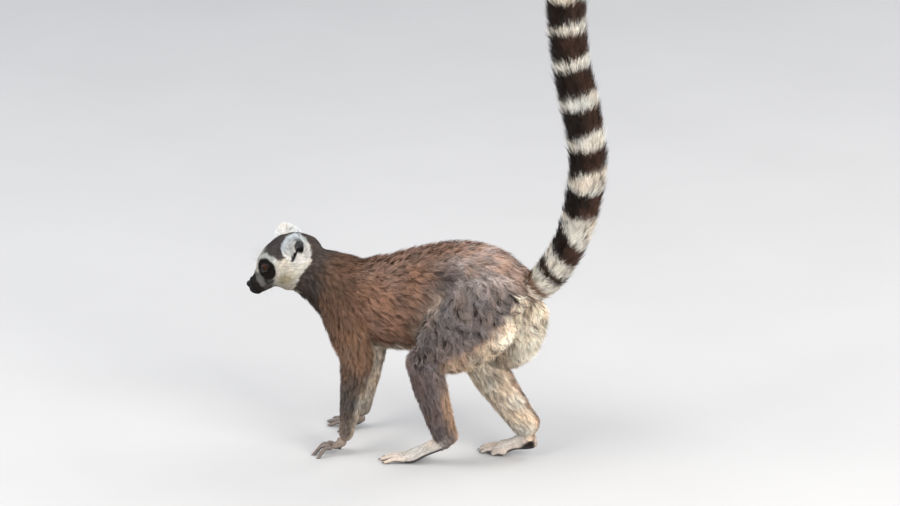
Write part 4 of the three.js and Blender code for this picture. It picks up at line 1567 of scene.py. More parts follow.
@dataclass
class Skin:
    """One skin over the whole animal."""

    build: Build
    chart: Chart
    markings: Markings
    eyes: EyeSet
    voxel: float = 1.25
    around_step: float = 3.0
    triangles: int = 118000
    fill_steps: int = 160
    # after how many steps of the filling the normals are worked out again
    fresh_normals: int = 8
    smooth_steps: int = 14
    depth_steps: int = 80
    lie_steps: int = 24
    curve_steps: int = 12
    # distances from the eyes within which the faces are cut finer, once for each
    fine_reach: tuple[float, ...] = (15.5, 12.5)
    # how far out the lids' share and their dark rims reach, and the share away from the eyes
    share_reach: float = 14.0
    rim_reach: float = 12.0
    away_share: float = 9.0
    lowest: float = 0.1

    FLESH = (
        "head", "neck", "chest", "loin", "rump", *(f"tail_{k}" for k in range(1, 7)),
        *(f"{side}_{part}" for side in SIDES
          for part in ("ear", "upper_arm", "forearm", "hand", "thigh", "shank", "foot")),
    )  # fmt: skip

    def build_piece(self) -> Object:
        """Makes the skin and keeps its arrays for the coat.

        Returns:
            The piece, which stands for every solid of flesh.
        """
        mesh = self._refined(self._eased(self._united()))
        self.points = self._featured(mesh_points(mesh), mesh_normals(mesh))
        move_points(mesh, self.points)
        self.normals = unit(mesh_normals(mesh))
        self.web = Web(read_rows(mesh.edges, "vertices", 2), len(self.points))
        mesh.calc_loop_triangles()
        self.faces = read_rows(mesh.loop_triangles, "vertices", 3)
        bpy.data.meshes.remove(mesh)
        self.places = self.chart.places(self.points, self.normals)
        self.lie = self._lie()
        self.curve = self._curve()
        self.deep = self.places.coat.copy()
        small = self.places.of(Part.HEAD, *EAR_SIDES, *PAWS)
        for _ in range(self.depth_steps):
            self.deep = np.where(small, self.places.coat, self.web.mean(self.deep))
        # painted shade: skin under deep fur is darkened as if shaded by the fur over it
        shade = 0.92 - 0.42 * ease(self.deep, 2.0, 7.0)
        tint = self._rimmed(self.markings.colour(self.places) * shade[:, None])
        corners, starts = self.faces.ravel(), np.arange(len(self.faces)) * 3
        uv = self.chart.unwrap(self.places)[corners]
        piece = make_piece("skin", self.points, corners, starts, SkinFinish().material(), tint, uv=uv)
        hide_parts(*self.FLESH)
        LOG.info("skin: %d triangles", len(self.faces))
        return piece

    def _united(self) -> Mesh:
        """Joins all lofts in one closed surface."""
        points, faces, base = [], [], 0
        for loft in self.build.lofts:
            girth = 2 * math.pi * float(loft.size[:, :2].max())
            p, f = loft.surface(max(14, int(girth / self.around_step)), self.around_step)
            if loft.part in EAR_SIDES:
                p = Ear(self.build, EAR_SIDES[loft.part]).scooped(p)
            points.append(p)
            faces += [[i + base for i in face] for face in f]
            base += len(p)
        mesh = bpy.data.meshes.new("lofts")
        mesh.from_pydata(np.vstack(points).tolist(), [], faces)
        mesh.update()
        return with_modifier(mesh, "REMESH", mode="VOXEL", voxel_size=self.voxel, use_smooth_shade=True)

    def _eased(self, mesh: Mesh) -> Mesh:
        """Fills the creases where lofts meet, by moving only hollow places outwards to their neighbours'
        mean, then smooths the grain of the remesh without shrinking, and thins the faces of the body.

        Args:
            mesh: the united lofts, in quads.

        Returns:
            The eased skin.
        """
        points = mesh_points(mesh)
        web = Web(read_rows(mesh.edges, "vertices", 2), len(points))
        quads = read_rows(mesh.polygons, "vertices", 4)
        part = self.chart.places(points, np.zeros_like(points)).part
        fill, smooth = np.ones(len(points)), np.ones(len(points))
        for parts, filled, smoothed in (((Part.HEAD,), 0.35, 0.5), (EAR_SIDES, 0.0, 0.1), (PAWS, 0.12, 0.35)):
            rows = np.isin(part, [p.value for p in parts])
            fill[rows], smooth[rows] = filled, smoothed
        for _ in range(10):
            fill, smooth = 0.5 * fill + 0.5 * web.mean(fill), 0.5 * smooth + 0.5 * web.mean(smooth)
        for turn in range(self.fill_steps):
            if turn % self.fresh_normals == 0:
                normals = quad_normals(points, quads)
            step = web.mean(points) - points
            points += normals * (np.maximum(dot(step, normals), 0.0) * 0.9 * fill)[:, None]
        for _ in range(self.smooth_steps):
            points += (web.mean(points) - points) * (0.60 * smooth)[:, None]
            points -= (web.mean(points) - points) * (0.62 * smooth)[:, None]
        move_points(mesh, points)
        plain = np.where(np.isin(part, [p.value for p in (Part.HEAD, *EAR_SIDES, *PAWS)]), 0.0, 1.0)
        for _ in range(6):
            plain = 0.4 * plain + 0.6 * web.mean(plain)
        ratio = min(1.0, self.triangles / (2 * len(quads)))
        return with_modifier(mesh, "DECIMATE", plain, ratio=ratio, vertex_group_factor=6.0)

    def _refined(self, mesh: Mesh) -> Mesh:
        """Cuts the faces round the eyes finer.

        Args:
            mesh: the eased skin, which is changed.

        Returns:
            The same mesh, all in triangles.
        """
        work = bmesh.new()
        work.from_mesh(mesh)
        for reach in self.fine_reach:
            points = self.build.head_local(np.array([v.co[:] for v in work.verts]))
            close = np.zeros(len(points), bool)
            for sign in SIDES.values():
                centre, _ = self.eyes.frame(sign)
                close |= np.linalg.norm(points - centre, axis=1) < reach
            work.edges.ensure_lookup_table()
            ends = np.array([[e.verts[0].index, e.verts[1].index] for e in work.edges])
            chosen = np.flatnonzero(close[ends].any(1))
            bmesh.ops.subdivide_edges(work, edges=[work.edges[i] for i in chosen], cuts=1, use_grid_fill=True)
            work.verts.index_update()
            work.edges.index_update()
        bmesh.ops.triangulate(work, faces=work.faces[:])
        work.to_mesh(mesh)
        work.free()
        mesh.update()
        return mesh

    def _featured(self, points: Array, normals: Array) -> Array:
        """Fills the nape, and shapes the face: forehead, brow, cheek hollow, mouth and lids.

        Args:
            points: the skin's, in the drawing frame.
            normals: its directions.

        Returns:
            The moved points.
        """
        full = 3.0 * bump(points, (-150, -10, 283), (10, 24, 10))
        points = points + normals * full[:, None]
        head = self.build.head_local(points)
        rows = np.flatnonzero((head[:, 0] > 10) & (np.abs(head[:, 1]) < 45) & (np.abs(head[:, 2]) < 60))
        p = head[rows]
        side = np.sign(p[:, 1])
        even = p * np.column_stack([np.ones(len(p)), side, np.ones(len(p))])
        outward = unit(np.column_stack([np.zeros(len(p)), p[:, 1], p[:, 2] + 8]))
        push = 4.0 * bump(even, (41, 11, 26), (10, 13, 8))
        push += 1.4 * bump(even, (49, 11, 17), (7, 6, 5)) - 1.6 * bump(even, (57, 13, 1), (7, 7, 7))
        push += 0.9 * bump(even, (36, 26, -4), (9, 9, 8)) + 0.7 * bump(even, (68, 11, -9), (7, 6, 5))
        push += 1.3 * ease(p[:, 0], 68, 78)
        push += 1.0 * bump(even, (48, 0, 26), (8, 8, 8)) + 2.2 * bump(even, (54, 0, 19), (5, 8, 5))
        push -= 1.6 * bump(even, (61, 0, 12), (5, 7, 5))
        groove = hill(p[:, 2] - Markings.mouth_line(p[:, 0]), 0.95) * ease(p[:, 0], 42, 46)
        push -= 1.1 * groove * (np.abs(p[:, 1]) > 2)
        p = p + outward * push[:, None]
        p[:, 0] += 2.4 * bump(even, (82, 0, -13.5), (6, 8, 6.5))
        for sign in SIDES.values():
            p = self.eyes.lids(p, sign)
        points[rows] = self.build.head_world(p)
        points[:, 2] = np.maximum(points[:, 2], self.lowest)
        return points

    def _lie(self) -> Array:
        """The way the fur lies: along each part, blended where parts meet, flat on the skin."""
        lie = self.places.lie.copy()
        n = self.normals
        thigh = self.places.of(Part.LEFT_THIGH, Part.RIGHT_THIGH)
        lie[thigh] = unit(np.array([0.42, 0.0, -1.0]))
        body = self.places.of(Part.TRUNK, Part.NECK)
        lie[body] = unit(lie[body] + 0.45 * DOWN * (1 - np.abs(n[body, 2:])))
        paw = self.places.of(*PAWS)
        lie[paw] = unit(lie[paw] * np.array([1, 1, 0.5]))
        head = self.places.of(Part.HEAD)
        local = self.build.head_local(self.points[head])
        away = local - np.array([62.0, 0.0, -2.0])
        away[:, 0] = -np.abs(away[:, 0]) - 12
        lie[head] = unit(away) @ self.build.head_axes.T
        for part, side in EAR_SIDES.items():
            rows = self.places.of(part)
            lie[rows] = Ear(self.build, side).fan(self.points[rows])
        for _ in range(self.lie_steps):
            lie = lie - n * dot(lie, n)[:, None]
            lie = unit(0.4 * unit(lie) + 0.6 * self.web.mean(lie))
        return unit(lie - n * dot(lie, n)[:, None])

    def _curve(self) -> Array:
        """How the skin bends along the lie: one over the radius, above 0 where it is round."""
        web = self.web
        owner = np.repeat(np.arange(len(self.points)), web.count)
        along = dot(self.points[web.other] - self.points[owner], self.lie[owner])
        turned = dot(self.normals[web.other] - self.normals[owner], self.lie[owner])
        curve = np.add.reduceat(along * turned, web.start)
        curve /= np.maximum(np.add.reduceat(along**2, web.start), 1e-6)
        for _ in range(self.curve_steps):
            curve = web.mean(curve)
        return np.clip(curve, -1 / 30, 1 / 20)

    def lid_share(self, points: Array) -> Array:
        """How far points are out from the nearer eye.

        Args:
            points: in the drawing frame.

        Returns:
            1 at the lids' edge, more further out, and `away_share` away from the eyes.
        """
        head = self.build.head_local(points)
        found = np.full(len(points), self.away_share)
        for sign in SIDES.values():
            distance, share, _ = self.eyes.polar(head, sign)
            found = np.where(distance < self.share_reach, np.minimum(found, share), found)
        return found

    def _rimmed(self, tint: Array) -> Array:
        """Darkens the rims of the lids.

        Args:
            tint: the skin's colours.

        Returns:
            The same with dark rims.
        """
        head = self.build.head_local(self.points)
        for sign in SIDES.values():
            distance, share, _ = self.eyes.polar(head, sign)
            tint = mix(tint, Tint.BLACK.rgb, (distance < self.rim_reach) * ease(share, 1.26, 1.12))
        return tint


# ---------------- coat


@dataclass(frozen=True)
class Growth:
    """How the fur grows on one stretch of the animal, in millimetres and shares."""

    name: str
    slot: str
    parts: tuple[Part, ...]
    tufts: int
    # share of the way along the parts that this stretch covers
    span: tuple[float, float] = (0.0, 1.0)
    # tuft length as a multiple of the coat's depth, with a least length
    length: float = 2.4
    shortest: float = 3.0
    # how much of the coat's depth the tips stand to
    stand: tuple[float, float] = (0.45, 1.05)
    width: float = 1.1
    clump: float = 7.0
    pull: float = 0.5
    wave: float = 0.10
    # how far clumps turn from the lie, in degrees
    swirl: float = 14.0
    # painted shade deep in the coat at the tufts' roots, with the hairs' own darker bases, as a multiple of
    # their colour
    root_shade: float = 0.55
    contrast: float = 0.16
    # how much painted shade darkens the gaps between clumps, and how much lower the fur is there
    gap: float = 0.25
    dip: float = 0.3
    # how much longer clumps are along the lie than across it
    stretch: float = 1.6
    # how much lighter the tips are: partly the hairs' own paler tips, partly a painted highlight
    tip_shade: float = 1.1
    # share of tufts that stand out
    stray: float = 0.02


@dataclass
class Coat:
    """Tapered tufts over the skin."""

    skin: Skin
    chart: Chart
    markings: Markings

    # half the size of a tuft's patch on the unwrap
    PATCH = 0.0015
    # a tuft's rows of points, as shares of its length
    STEPS = np.array([0.0, 0.55, 1.0])
    # share of the tufts that are short underfur
    UNDER = 0.30
    QUICKER = 8
    # depth of the roots in the skin, and how low a point may be
    SUNK, LOWEST = 0.4, 0.1
    # limits of a tuft's colour
    DARKEST, PALEST = 0.003, 0.88
    # makes one number of a grid cell's three
    CELL_KEYS = np.array([1, 4099, 16785407])

    def __post_init__(self) -> None:
        """Seeds the cloud that bends the clumps."""
        self.gusts = Cloud(SEED + 5)

    def grow(self, growth: Growth, number: int) -> Object:
        """Grows one piece of the coat.

        Args:
            growth: how it grows.
            number: which piece, for its random draws.

        Returns:
            The piece.
        """
        rng = np.random.default_rng(SEED + 100 + number)
        tufts = growth.tufts // 1
        root, normal, lie, curve, places = self._roots(growth, tufts, rng)
        n = len(root)
        under, length, height = self._sizes(growth, places, rng)
        gather, value, turn = self._clumps(root, lie, growth, rng)
        edge = ease(np.linalg.norm(gather, axis=1) / growth.clump, 0.20, 0.55)
        height = np.minimum(height * (1.1 - growth.dip * edge), 0.8 * length)
        swirl = np.radians(growth.swirl * turn + 6.0 * rng.normal(size=n))
        across = unit(np.cross(normal, lie))
        way = lie * np.cos(swirl)[:, None] + across * np.sin(swirl)[:, None]
        across = unit(np.cross(normal, way))
        forward = np.sqrt(np.maximum(length**2 - height**2, 0.04))
        gather -= normal * dot(gather, normal)[:, None]
        bend = length * (0.06 * rng.normal(size=n) + growth.wave * turn)
        hug = 0.4 * curve * forward**2
        wave, phase = growth.wave * length * rng.uniform(0.4, 1.0, n), rng.uniform(0, 6.28, n)
        roll = rng.normal(size=n) * 0.55
        broad = growth.width * rng.uniform(0.7, 1.25, n) * np.where(under, 0.9, 1.0)
        wide = across * np.cos(roll)[:, None] + normal * np.sin(roll)[:, None]
        rows, shading = [], []
        for u in self.STEPS:
            sway = bend * u * u + wave * u * np.sin(phase + 5.0 * u)
            risen = height * (1.75 * u - 0.75 * u * u) - self.SUNK
            p = root + way * (forward * u)[:, None] + normal * risen[:, None]
            p += across * sway[:, None] + gather * (growth.pull * u * u) - normal * (hug * u * u)[:, None]
            if u < 1:
                half = (0.5 * broad * (1.0 - 0.45 * u * u))[:, None]
                rows += [p - wide * half, p + wide * half]
                shading += [normal - 0.45 * wide, normal + 0.45 * wide]
            else:
                rows.append(p)
                shading.append(normal + 0.25 * way)
        seen = self.chart.places(root + way * (0.55 * forward)[:, None], normal)
        # painted shade: underfur and the gaps between clumps are darkened
        dim = np.where(under, 0.82, 1.0) * (1 - growth.gap * edge)
        tint = self._colours(growth, seen, value, dim, rng)
        corners, starts, uv = self._wiring(n, self.chart.unwrap(places))
        points = np.stack(rows, 1).reshape(-1, 3)
        points[:, 2] = np.maximum(points[:, 2], self.LOWEST)
        piece = make_piece(
            growth.name, points, corners, starts, FurFinish(growth.name + "_fur").material(),
            tint.reshape(-1, 3), np.stack(shading, 1).reshape(-1, 3), uv,
        )  # fmt: skip
        LOG.info("%s: %d tufts", growth.name, n)
        return piece

    def _sizes(self, growth: Growth, places: Places, rng: np.random.Generator) -> tuple[Array, Array, Array]:
        """Draws how long tufts are and how high they stand.

        Args:
            growth: how the fur grows.
            places: the tufts' roots.
            rng: random draws.

        Returns:
            Which tufts are short underfur, lengths and heights.
        """
        root, deep = places.points, places.coat
        n = len(root)
        under = rng.random(n) < self.UNDER
        stray = rng.random(n) < growth.stray
        height = deep * rng.uniform(*growth.stand, n) * np.where(under, 0.55, 1.0) * np.where(stray, 1.2, 1.0)
        length = np.maximum(deep * growth.length, growth.shortest) * rng.uniform(0.72, 1.12, n)
        length *= 0.4 + 0.6 * ease(self.skin.lid_share(root), 1.1, 2.0)
        length *= 1 - 0.4 * places.of(Part.TAIL) * ease(places.share, 0.93, 1.0)
        crease = self.markings.seam(root)
        length, height = length * (1 - 0.35 * crease), height * (1 - 0.7 * crease)
        limb = places.of(Part.LEFT_SHANK, Part.RIGHT_SHANK, Part.LEFT_FORELEG, Part.RIGHT_FORELEG)
        length = length * np.where(under, 0.7, 1.0) * np.where(stray, 1.25, 1.0)
        return under, length * (1 - 0.45 * limb * ease(places.share, 0.8, 1.0)), height

    def _colours(
        self, growth: Growth, seen: Places, value: Array, dim: Array, rng: np.random.Generator
    ) -> Array:
        """Colours tufts by the skin's markings under their middles, with painted shade towards the root and
        lighter tips, partly their own paler colour and partly a painted highlight.

        Args:
            growth: how the fur grows.
            seen: the skin under the tufts' middles.
            value: each tuft's clump's brightness.
            dim: how much of the light reaches each tuft.
            rng: random draws.

        Returns:
            Linear red, green and blue by tuft and point.
        """
        n = len(value)
        tone = (1 + growth.contrast * value + 0.07 * rng.normal(size=n))[:, None]
        colour = self.markings.colour(seen) * (tone + np.outer(rng.normal(size=n), (0.03, 0.0, -0.03)))
        colour = np.clip(colour * dim[:, None], self.DARKEST, self.PALEST)
        # painted shade at the root, rising to tips that are partly a painted highlight
        shades = mix(growth.root_shade, growth.tip_shade, ease(self.STEPS, 0.0, 0.8))
        return np.stack([colour * shade for shade in shades.repeat([2] * (len(shades) - 1) + [1])], 1)

    def _roots(
        self, growth: Growth, tufts: int, rng: np.random.Generator
    ) -> tuple[Array, Array, Array, Array, Places]:
        """Spreads roots evenly over the skin of the growth's parts.

        Args:
            growth: which parts.
            tufts: how many.
            rng: random draws.

        Returns:
            Roots, skin directions, lies, the skin's bend along them, and places.
        """
        skin = self.skin
        part = skin.places.part[skin.faces[:, 0]]
        share = skin.places.share[skin.faces].mean(1)
        low, high = growth.span
        chosen = np.isin(part, [p.value for p in growth.parts]) & (share >= low) & (share < high)
        faces = skin.faces[chosen]
        a, b, c = (skin.points[faces[:, k]] for k in range(3))
        area = np.linalg.norm(np.cross(b - a, c - a), axis=1)
        area *= self._thickness(skin.places.take(faces[:, 0]))
        total = np.cumsum(area)
        at = (np.arange(tufts) + rng.random(tufts)) / tufts * total[-1]
        face = faces[np.minimum(np.searchsorted(total, at), len(faces) - 1)]
        r, s = rng.random(tufts), rng.random(tufts)
        w = np.stack([1 - np.sqrt(r), np.sqrt(r) * (1 - s), np.sqrt(r) * s], -1)
        root, normal, lie = ((v[face] * w[..., None]).sum(1) for v in (skin.points, skin.normals, skin.lie))
        normal = unit(normal)
        lie = unit(lie - normal * dot(lie, normal)[:, None])
        places = self.chart.places(root, normal)
        curve, places.coat = ((v[face] * w).sum(1) for v in (skin.curve, skin.deep))
        return root, normal, lie, curve, places

    def _thickness(self, places: Places) -> Array:
        """How densely tufts stand: thinner on bare soles, palms, ear hollows, nose and eyelids, and thicker
        towards the face.

        Args:
            places: points on the skin.

        Returns:
            One number for each, 1 on the plain coat.
        """
        dense = np.ones(len(places.points))
        paws = places.of(*PAWS)
        dense[paws] = ease(places.normals[paws, 2], -0.35, -0.05)
        for part, side in EAR_SIDES.items():
            rows = places.of(part)
            dark = Ear(self.skin.build, side).dark(places.points[rows], places.normals[rows])
            dense[rows] = 1.0 - 0.9 * dark
        rows = places.of(Part.HEAD)
        head = self.skin.build.head_local(places.points[rows])
        open_skin = ease(self.skin.lid_share(places.points[rows]), 1.1, 1.28)
        pad = (head - np.array(NosePad.centre)) / np.array(NosePad.half)
        open_skin *= ease(np.linalg.norm(pad, axis=1), 1.0, 1.2)
        dense[rows] = open_skin * (1 + 0.8 * ease(head[:, 0], 10, 40))
        return dense

    def _clumps(
        self, root: Array, lie: Array, growth: Growth, rng: np.random.Generator
    ) -> tuple[Array, Array, Array]:
        """Gathers tufts in clumps: the cells of a grid that clouds bend, drawn out along the lie.

        Args:
            root: the tufts' roots.
            lie: the way each tuft lies.
            growth: how big the clumps are.
            rng: random draws.

        Returns:
            Each tuft's way across to its clump's middle line, and the clump's brightness and turn, from -1
            to 1.
        """
        size = growth.clump
        drawn = 1 - 1 / growth.stretch
        warp = np.stack([self.gusts.at(root + 40.0 * k, 2.2 * size) for k in range(3)], -1)
        place = root - root.mean(0)
        place = place - lie * (dot(place, lie) * drawn)[:, None]
        grid = np.floor((place + 0.55 * size * warp) / size).astype(np.int64)
        _, cell = np.unique(grid @ self.CELL_KEYS, return_inverse=True)
        count = np.bincount(cell)
        middle = np.stack([np.bincount(cell, root[:, k]) / count for k in range(3)], -1)
        value, turn = rng.uniform(-1, 1, (2, len(count)))
        gather = middle[cell] - root
        gather = gather - lie * (dot(gather, lie) * drawn)[:, None]
        return gather, value[cell], turn[cell]

    def _wiring(self, n: int, uv: Array) -> tuple[Array, Array, Array]:
        """Corners and faces of n tufts: quads up to the last row and a triangle to the tip.

        Args:
            n: how many tufts.
            uv: each root's place on the unwrap.

        Returns:
            Corners, starts and each corner's place on the unwrap.
        """
        rows = len(self.STEPS)
        quads = [[2 * i + 1, 2 * i, 2 * i + 2, 2 * i + 3] for i in range(rows - 2)]
        last = 2 * (rows - 2)
        one = np.concatenate([np.ravel(quads).astype(int), [last + 1, last, last + 2]])
        per = 2 * (rows - 1) + 1
        corners = (np.arange(n)[:, None] * per + one).ravel()
        begin = np.concatenate([4 * np.arange(rows - 2), [4 * (rows - 2)]])
        starts = (np.arange(n)[:, None] * len(one) + begin).ravel()
        row = np.minimum(one // 2, rows - 1)
        across = np.where(one == per - 1, 0.0, np.where(one % 2 == 0, -1.0, 1.0)) * self.PATCH
        along = (self.STEPS[row] * 2 - 1) * self.PATCH
        spots = uv[:, None, :] + np.stack([across, along], -1)[None]
        return corners, starts, spots.reshape(-1, 2)


GROWTHS = (
    Growth(
        "head_fur", "pale_coat", (Part.HEAD,), 62000, length=2.3, shortest=3.6, stand=(0.35, 1.0),
        width=0.52, clump=3.4, pull=0.4, wave=0.06, swirl=10.0, root_shade=0.7, contrast=0.16, gap=0.2,
    ),
    Growth(
        "ear_fur", "pale_coat", (Part.LEFT_EAR, Part.RIGHT_EAR), 20000, length=2.7, shortest=5.0,
        stand=(0.35, 1.2), width=0.46, clump=3.2, pull=0.5, wave=0.08, swirl=14.0, root_shade=0.7,
        contrast=0.14, gap=0.2, stray=0.12,
    ),
    Growth(
        "neck_fur", "dark_coat", (Part.NECK,), 28000, width=0.68, clump=5.5, swirl=14.0, contrast=0.22,
        gap=0.35, tip_shade=1.2,
    ),
    Growth(
        "body_fur", "rust_coat", (Part.TRUNK,), 65000, width=0.8, clump=6.5, swirl=20.0, pull=0.75,
        wave=0.12, root_shade=0.5, contrast=0.23, gap=0.36, dip=0.45, stretch=2.0, tip_shade=1.22,
    ),
    Growth(
        "left_haunch_fur", "grey_coat", (Part.LEFT_THIGH,), 54000, length=2.1, stand=(0.35, 1.15),
        width=0.78, clump=5.4, pull=1.0, wave=0.26, swirl=36.0, root_shade=0.2, contrast=0.45, gap=0.85,
        dip=0.8, stretch=2.2, tip_shade=1.65,
    ),
    Growth(
        "right_haunch_fur", "grey_coat", (Part.RIGHT_THIGH,), 41000, length=2.1, stand=(0.35, 1.15),
        width=0.8, clump=6.0, pull=0.9, wave=0.2, swirl=26.0, root_shade=0.35, contrast=0.26, gap=0.5,
        dip=0.6, stretch=2.0, tip_shade=1.3,
    ),
    Growth(
        "foreleg_fur", "dark_coat", (Part.LEFT_FORELEG, Part.RIGHT_FORELEG), 51000, (0.0, 1.01), width=0.58,
        clump=4.5, swirl=16.0, contrast=0.24, gap=0.35, root_shade=0.5, tip_shade=1.25, stretch=2.0,
    ),
    Growth(
        "shank_fur", "grey_coat", (Part.LEFT_SHANK, Part.RIGHT_SHANK), 48000, width=0.6, clump=4.0,
        pull=0.6, swirl=16.0, wave=0.12, contrast=0.22, gap=0.32, root_shade=0.5, tip_shade=1.25,
        stretch=2.2,
    ),
    Growth(
        "hand_and_foot_fur", "pale_coat", PAWS, 36000, length=2.6, shortest=2.6, stand=(0.3, 0.9),
        width=0.42, clump=2.5, pull=0.3, wave=0.05, swirl=10.0, root_shade=0.75, contrast=0.16, gap=0.15,
    ),
    *(
        Growth(
            name, "tail_coat", (Part.TAIL,), tufts, span, length=2.2, stand=(0.45, 1.15), width=0.75,
            clump=5.5, pull=0.6, swirl=14.0, root_shade=0.6, stray=0.03, tip_shade=1.15,
        )
        for name, tufts, span in (
            ("lower_tail_fur", 45000, (0.0, 0.5)), ("upper_tail_fur", 45500, (0.5, 1.01)),
        )
    ),
)  # fmt: skip


# ---------------- eyes, nose, nails and whiskers


@dataclass
class Eyeballs:
    """The two eyes."""

    build: Build
    eyes: EyeSet
    pupil: float = 18.0
    iris: float = 40.0
    dome: float = 0.55
    rows: int = 56
    around: int = 72

    def build_pieces(self) -> list[Object]:
        """Makes both eyes: the distance from the middle is the radius, plus a low dome over the iris.

        Returns:
            The pieces, each in place of its solid.
        """
        pieces = []
        off, turn, ball, corners, starts = ball_grid(self.rows, self.around)
        off = np.degrees(off)
        local = ball * (self.eyes.radius + self.dome * hill(off, 30))[:, None]
        for side, sign in SIDES.items():
            centre, axes = self.eyes.frame(sign)
            frame = axes if np.linalg.det(axes) > 0 else axes * np.array([1, 1, -1])
            points = self.build.head_world(centre + local @ frame.T)
            finish = EyeFinish(f"{side}_wet_eye").material()
            piece = make_piece(f"{side}_eyeball", points, corners, starts, finish, self._colour(off, turn))
            recalculate(piece)
            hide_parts(f"{side}_eye")
            pieces.append(piece)
        return pieces

    def _colour(self, off: Array, turn: Array) -> Array:
        """Black pupil, red-brown iris with pale fibres darkened by painted shade, and a dark brown white.

        Args:
            off: angles off the gaze, in degrees.
            turn: angles round it.

        Returns:
            Linear red, green and blue.
        """
        fibres = 0.5 + 0.5 * np.sin(turn * 36) * np.cos(turn * 11)
        iris = layered(Tint.IRIS, (Tint.IRIS_EDGE, ease(off, 20, 36))) * (0.8 + 0.4 * fibres)[:, None]
        rgb = mix(iris, Tint.EYE_WHITE.rgb, ease(off, self.iris - 4, self.iris))
        return mix(rgb, Tint.PUPIL.rgb, ease(off, self.pupil + 2, self.pupil - 1))


def recalculate(piece: Object) -> None:
    """Turns a closed piece's faces outwards."""
    work = bmesh.new()
    work.from_mesh(piece.data)
    bmesh.ops.recalc_face_normals(work, faces=work.faces)
    work.to_mesh(piece.data)
    work.free()


@dataclass
class NosePad:
    """The bare nose: an oval pad with two comma-shaped nostrils and a groove between them."""

    build: Build
    centre: Triple = (78.3, 0.0, -5.6)
    half: Triple = (5.3, 5.6, 4.5)
    square: float = 3.4
    rows: int = 48
    around: int = 64

    def build_piece(self) -> Object:
        """Makes the pad.

        Returns:
            The piece, in place of the nose's solid.
        """
        _, _, ball, corners, starts = ball_grid(self.rows, self.around)
        even = ball * np.column_stack([np.ones(len(ball)), np.sign(ball[:, 1]), np.ones(len(ball))])
        swell = (np.abs(ball) ** self.square).sum(-1) ** (-1 / self.square)
        swell -= 0.50 * bump(even, (0.76, 0.48, -0.10), (0.4, 0.20, 0.26))
        swell -= 0.34 * bump(even, (0.45, 0.86, 0.02), (0.34, 0.24, 0.14))
        swell += 0.10 * bump(even, (0.66, 0.60, 0.30), (0.4, 0.3, 0.2))
        groove = hill(ball[:, 1], 0.09)
        swell -= 0.13 * groove * ease(ball[:, 2], 0.25, -0.2) * ease(ball[:, 0], 0, 0.4)
        local = ball * swell[:, None] * np.array(self.half)
        local[:, 1] *= 1 - 0.28 * ease(-ball[:, 2], 0.0, 0.9)
        local[:, 0] -= 0.8 * ease(-ball[:, 2], 0.2, 1.0) * ease(ball[:, 0], 0.0, 0.6)
        local += np.array(self.centre)
        finish = LeatherFinish("nose_leather", (0.006, 0.0055, 0.0055), 0.6, 1400.0)
        piece = make_piece("nose_pad", self.build.head_world(local), corners, starts, finish.material())
        recalculate(piece)
        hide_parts("nose")
        return piece


@dataclass
class Nails:
    """Twenty small arched nails."""

    build: Build
    length: float = 4.6
    lowest: float = 0.15
    steps: int = 7
    around: int = 8

    def build_piece(self) -> Object:
        """Makes every nail: a closed half-round shell that narrows and curves down to its tip.

        Returns:
            One piece.
        """
        rings, ends = [], []
        along = np.linspace(0.0, 1.0, self.steps)[:, None]
        turn = (np.arange(self.around) * (2 * math.pi / self.around))[None]
        for tip, way, thick in self.build.digit_tips:
            level = unit(np.array([way[0], way[1], 0.0]))
            across = np.cross(level, DOWN)
            wide = thick * 0.52 * (1 - 0.55 * along**2)
            tall = thick * 0.34 * (1 - 0.5 * along**2)
            sink = self.length * 0.26 * along**2
            start = tip - level * (thick * 0.9) + np.array([0, 0, thick * 0.38])
            ring = (
                start
                + level * (along * self.length)[..., None]
                + DOWN * (sink - np.maximum(np.sin(turn), -0.35) * tall)[..., None]
                + across * (np.cos(turn) * wide)[..., None]
            )
            rings.append(ring)
            ends.append([ring[0].mean(0), ring[-1].mean(0)])
        points, corners, starts = tubes(rings, ends)
        points[:, 2] = np.maximum(points[:, 2], self.lowest)
        finish = LeatherFinish("dark_nail", (0.035, 0.030, 0.028), 0.35, 500.0)
        piece = make_piece("nails", points, corners, starts, finish.material())
        recalculate(piece)
        return piece


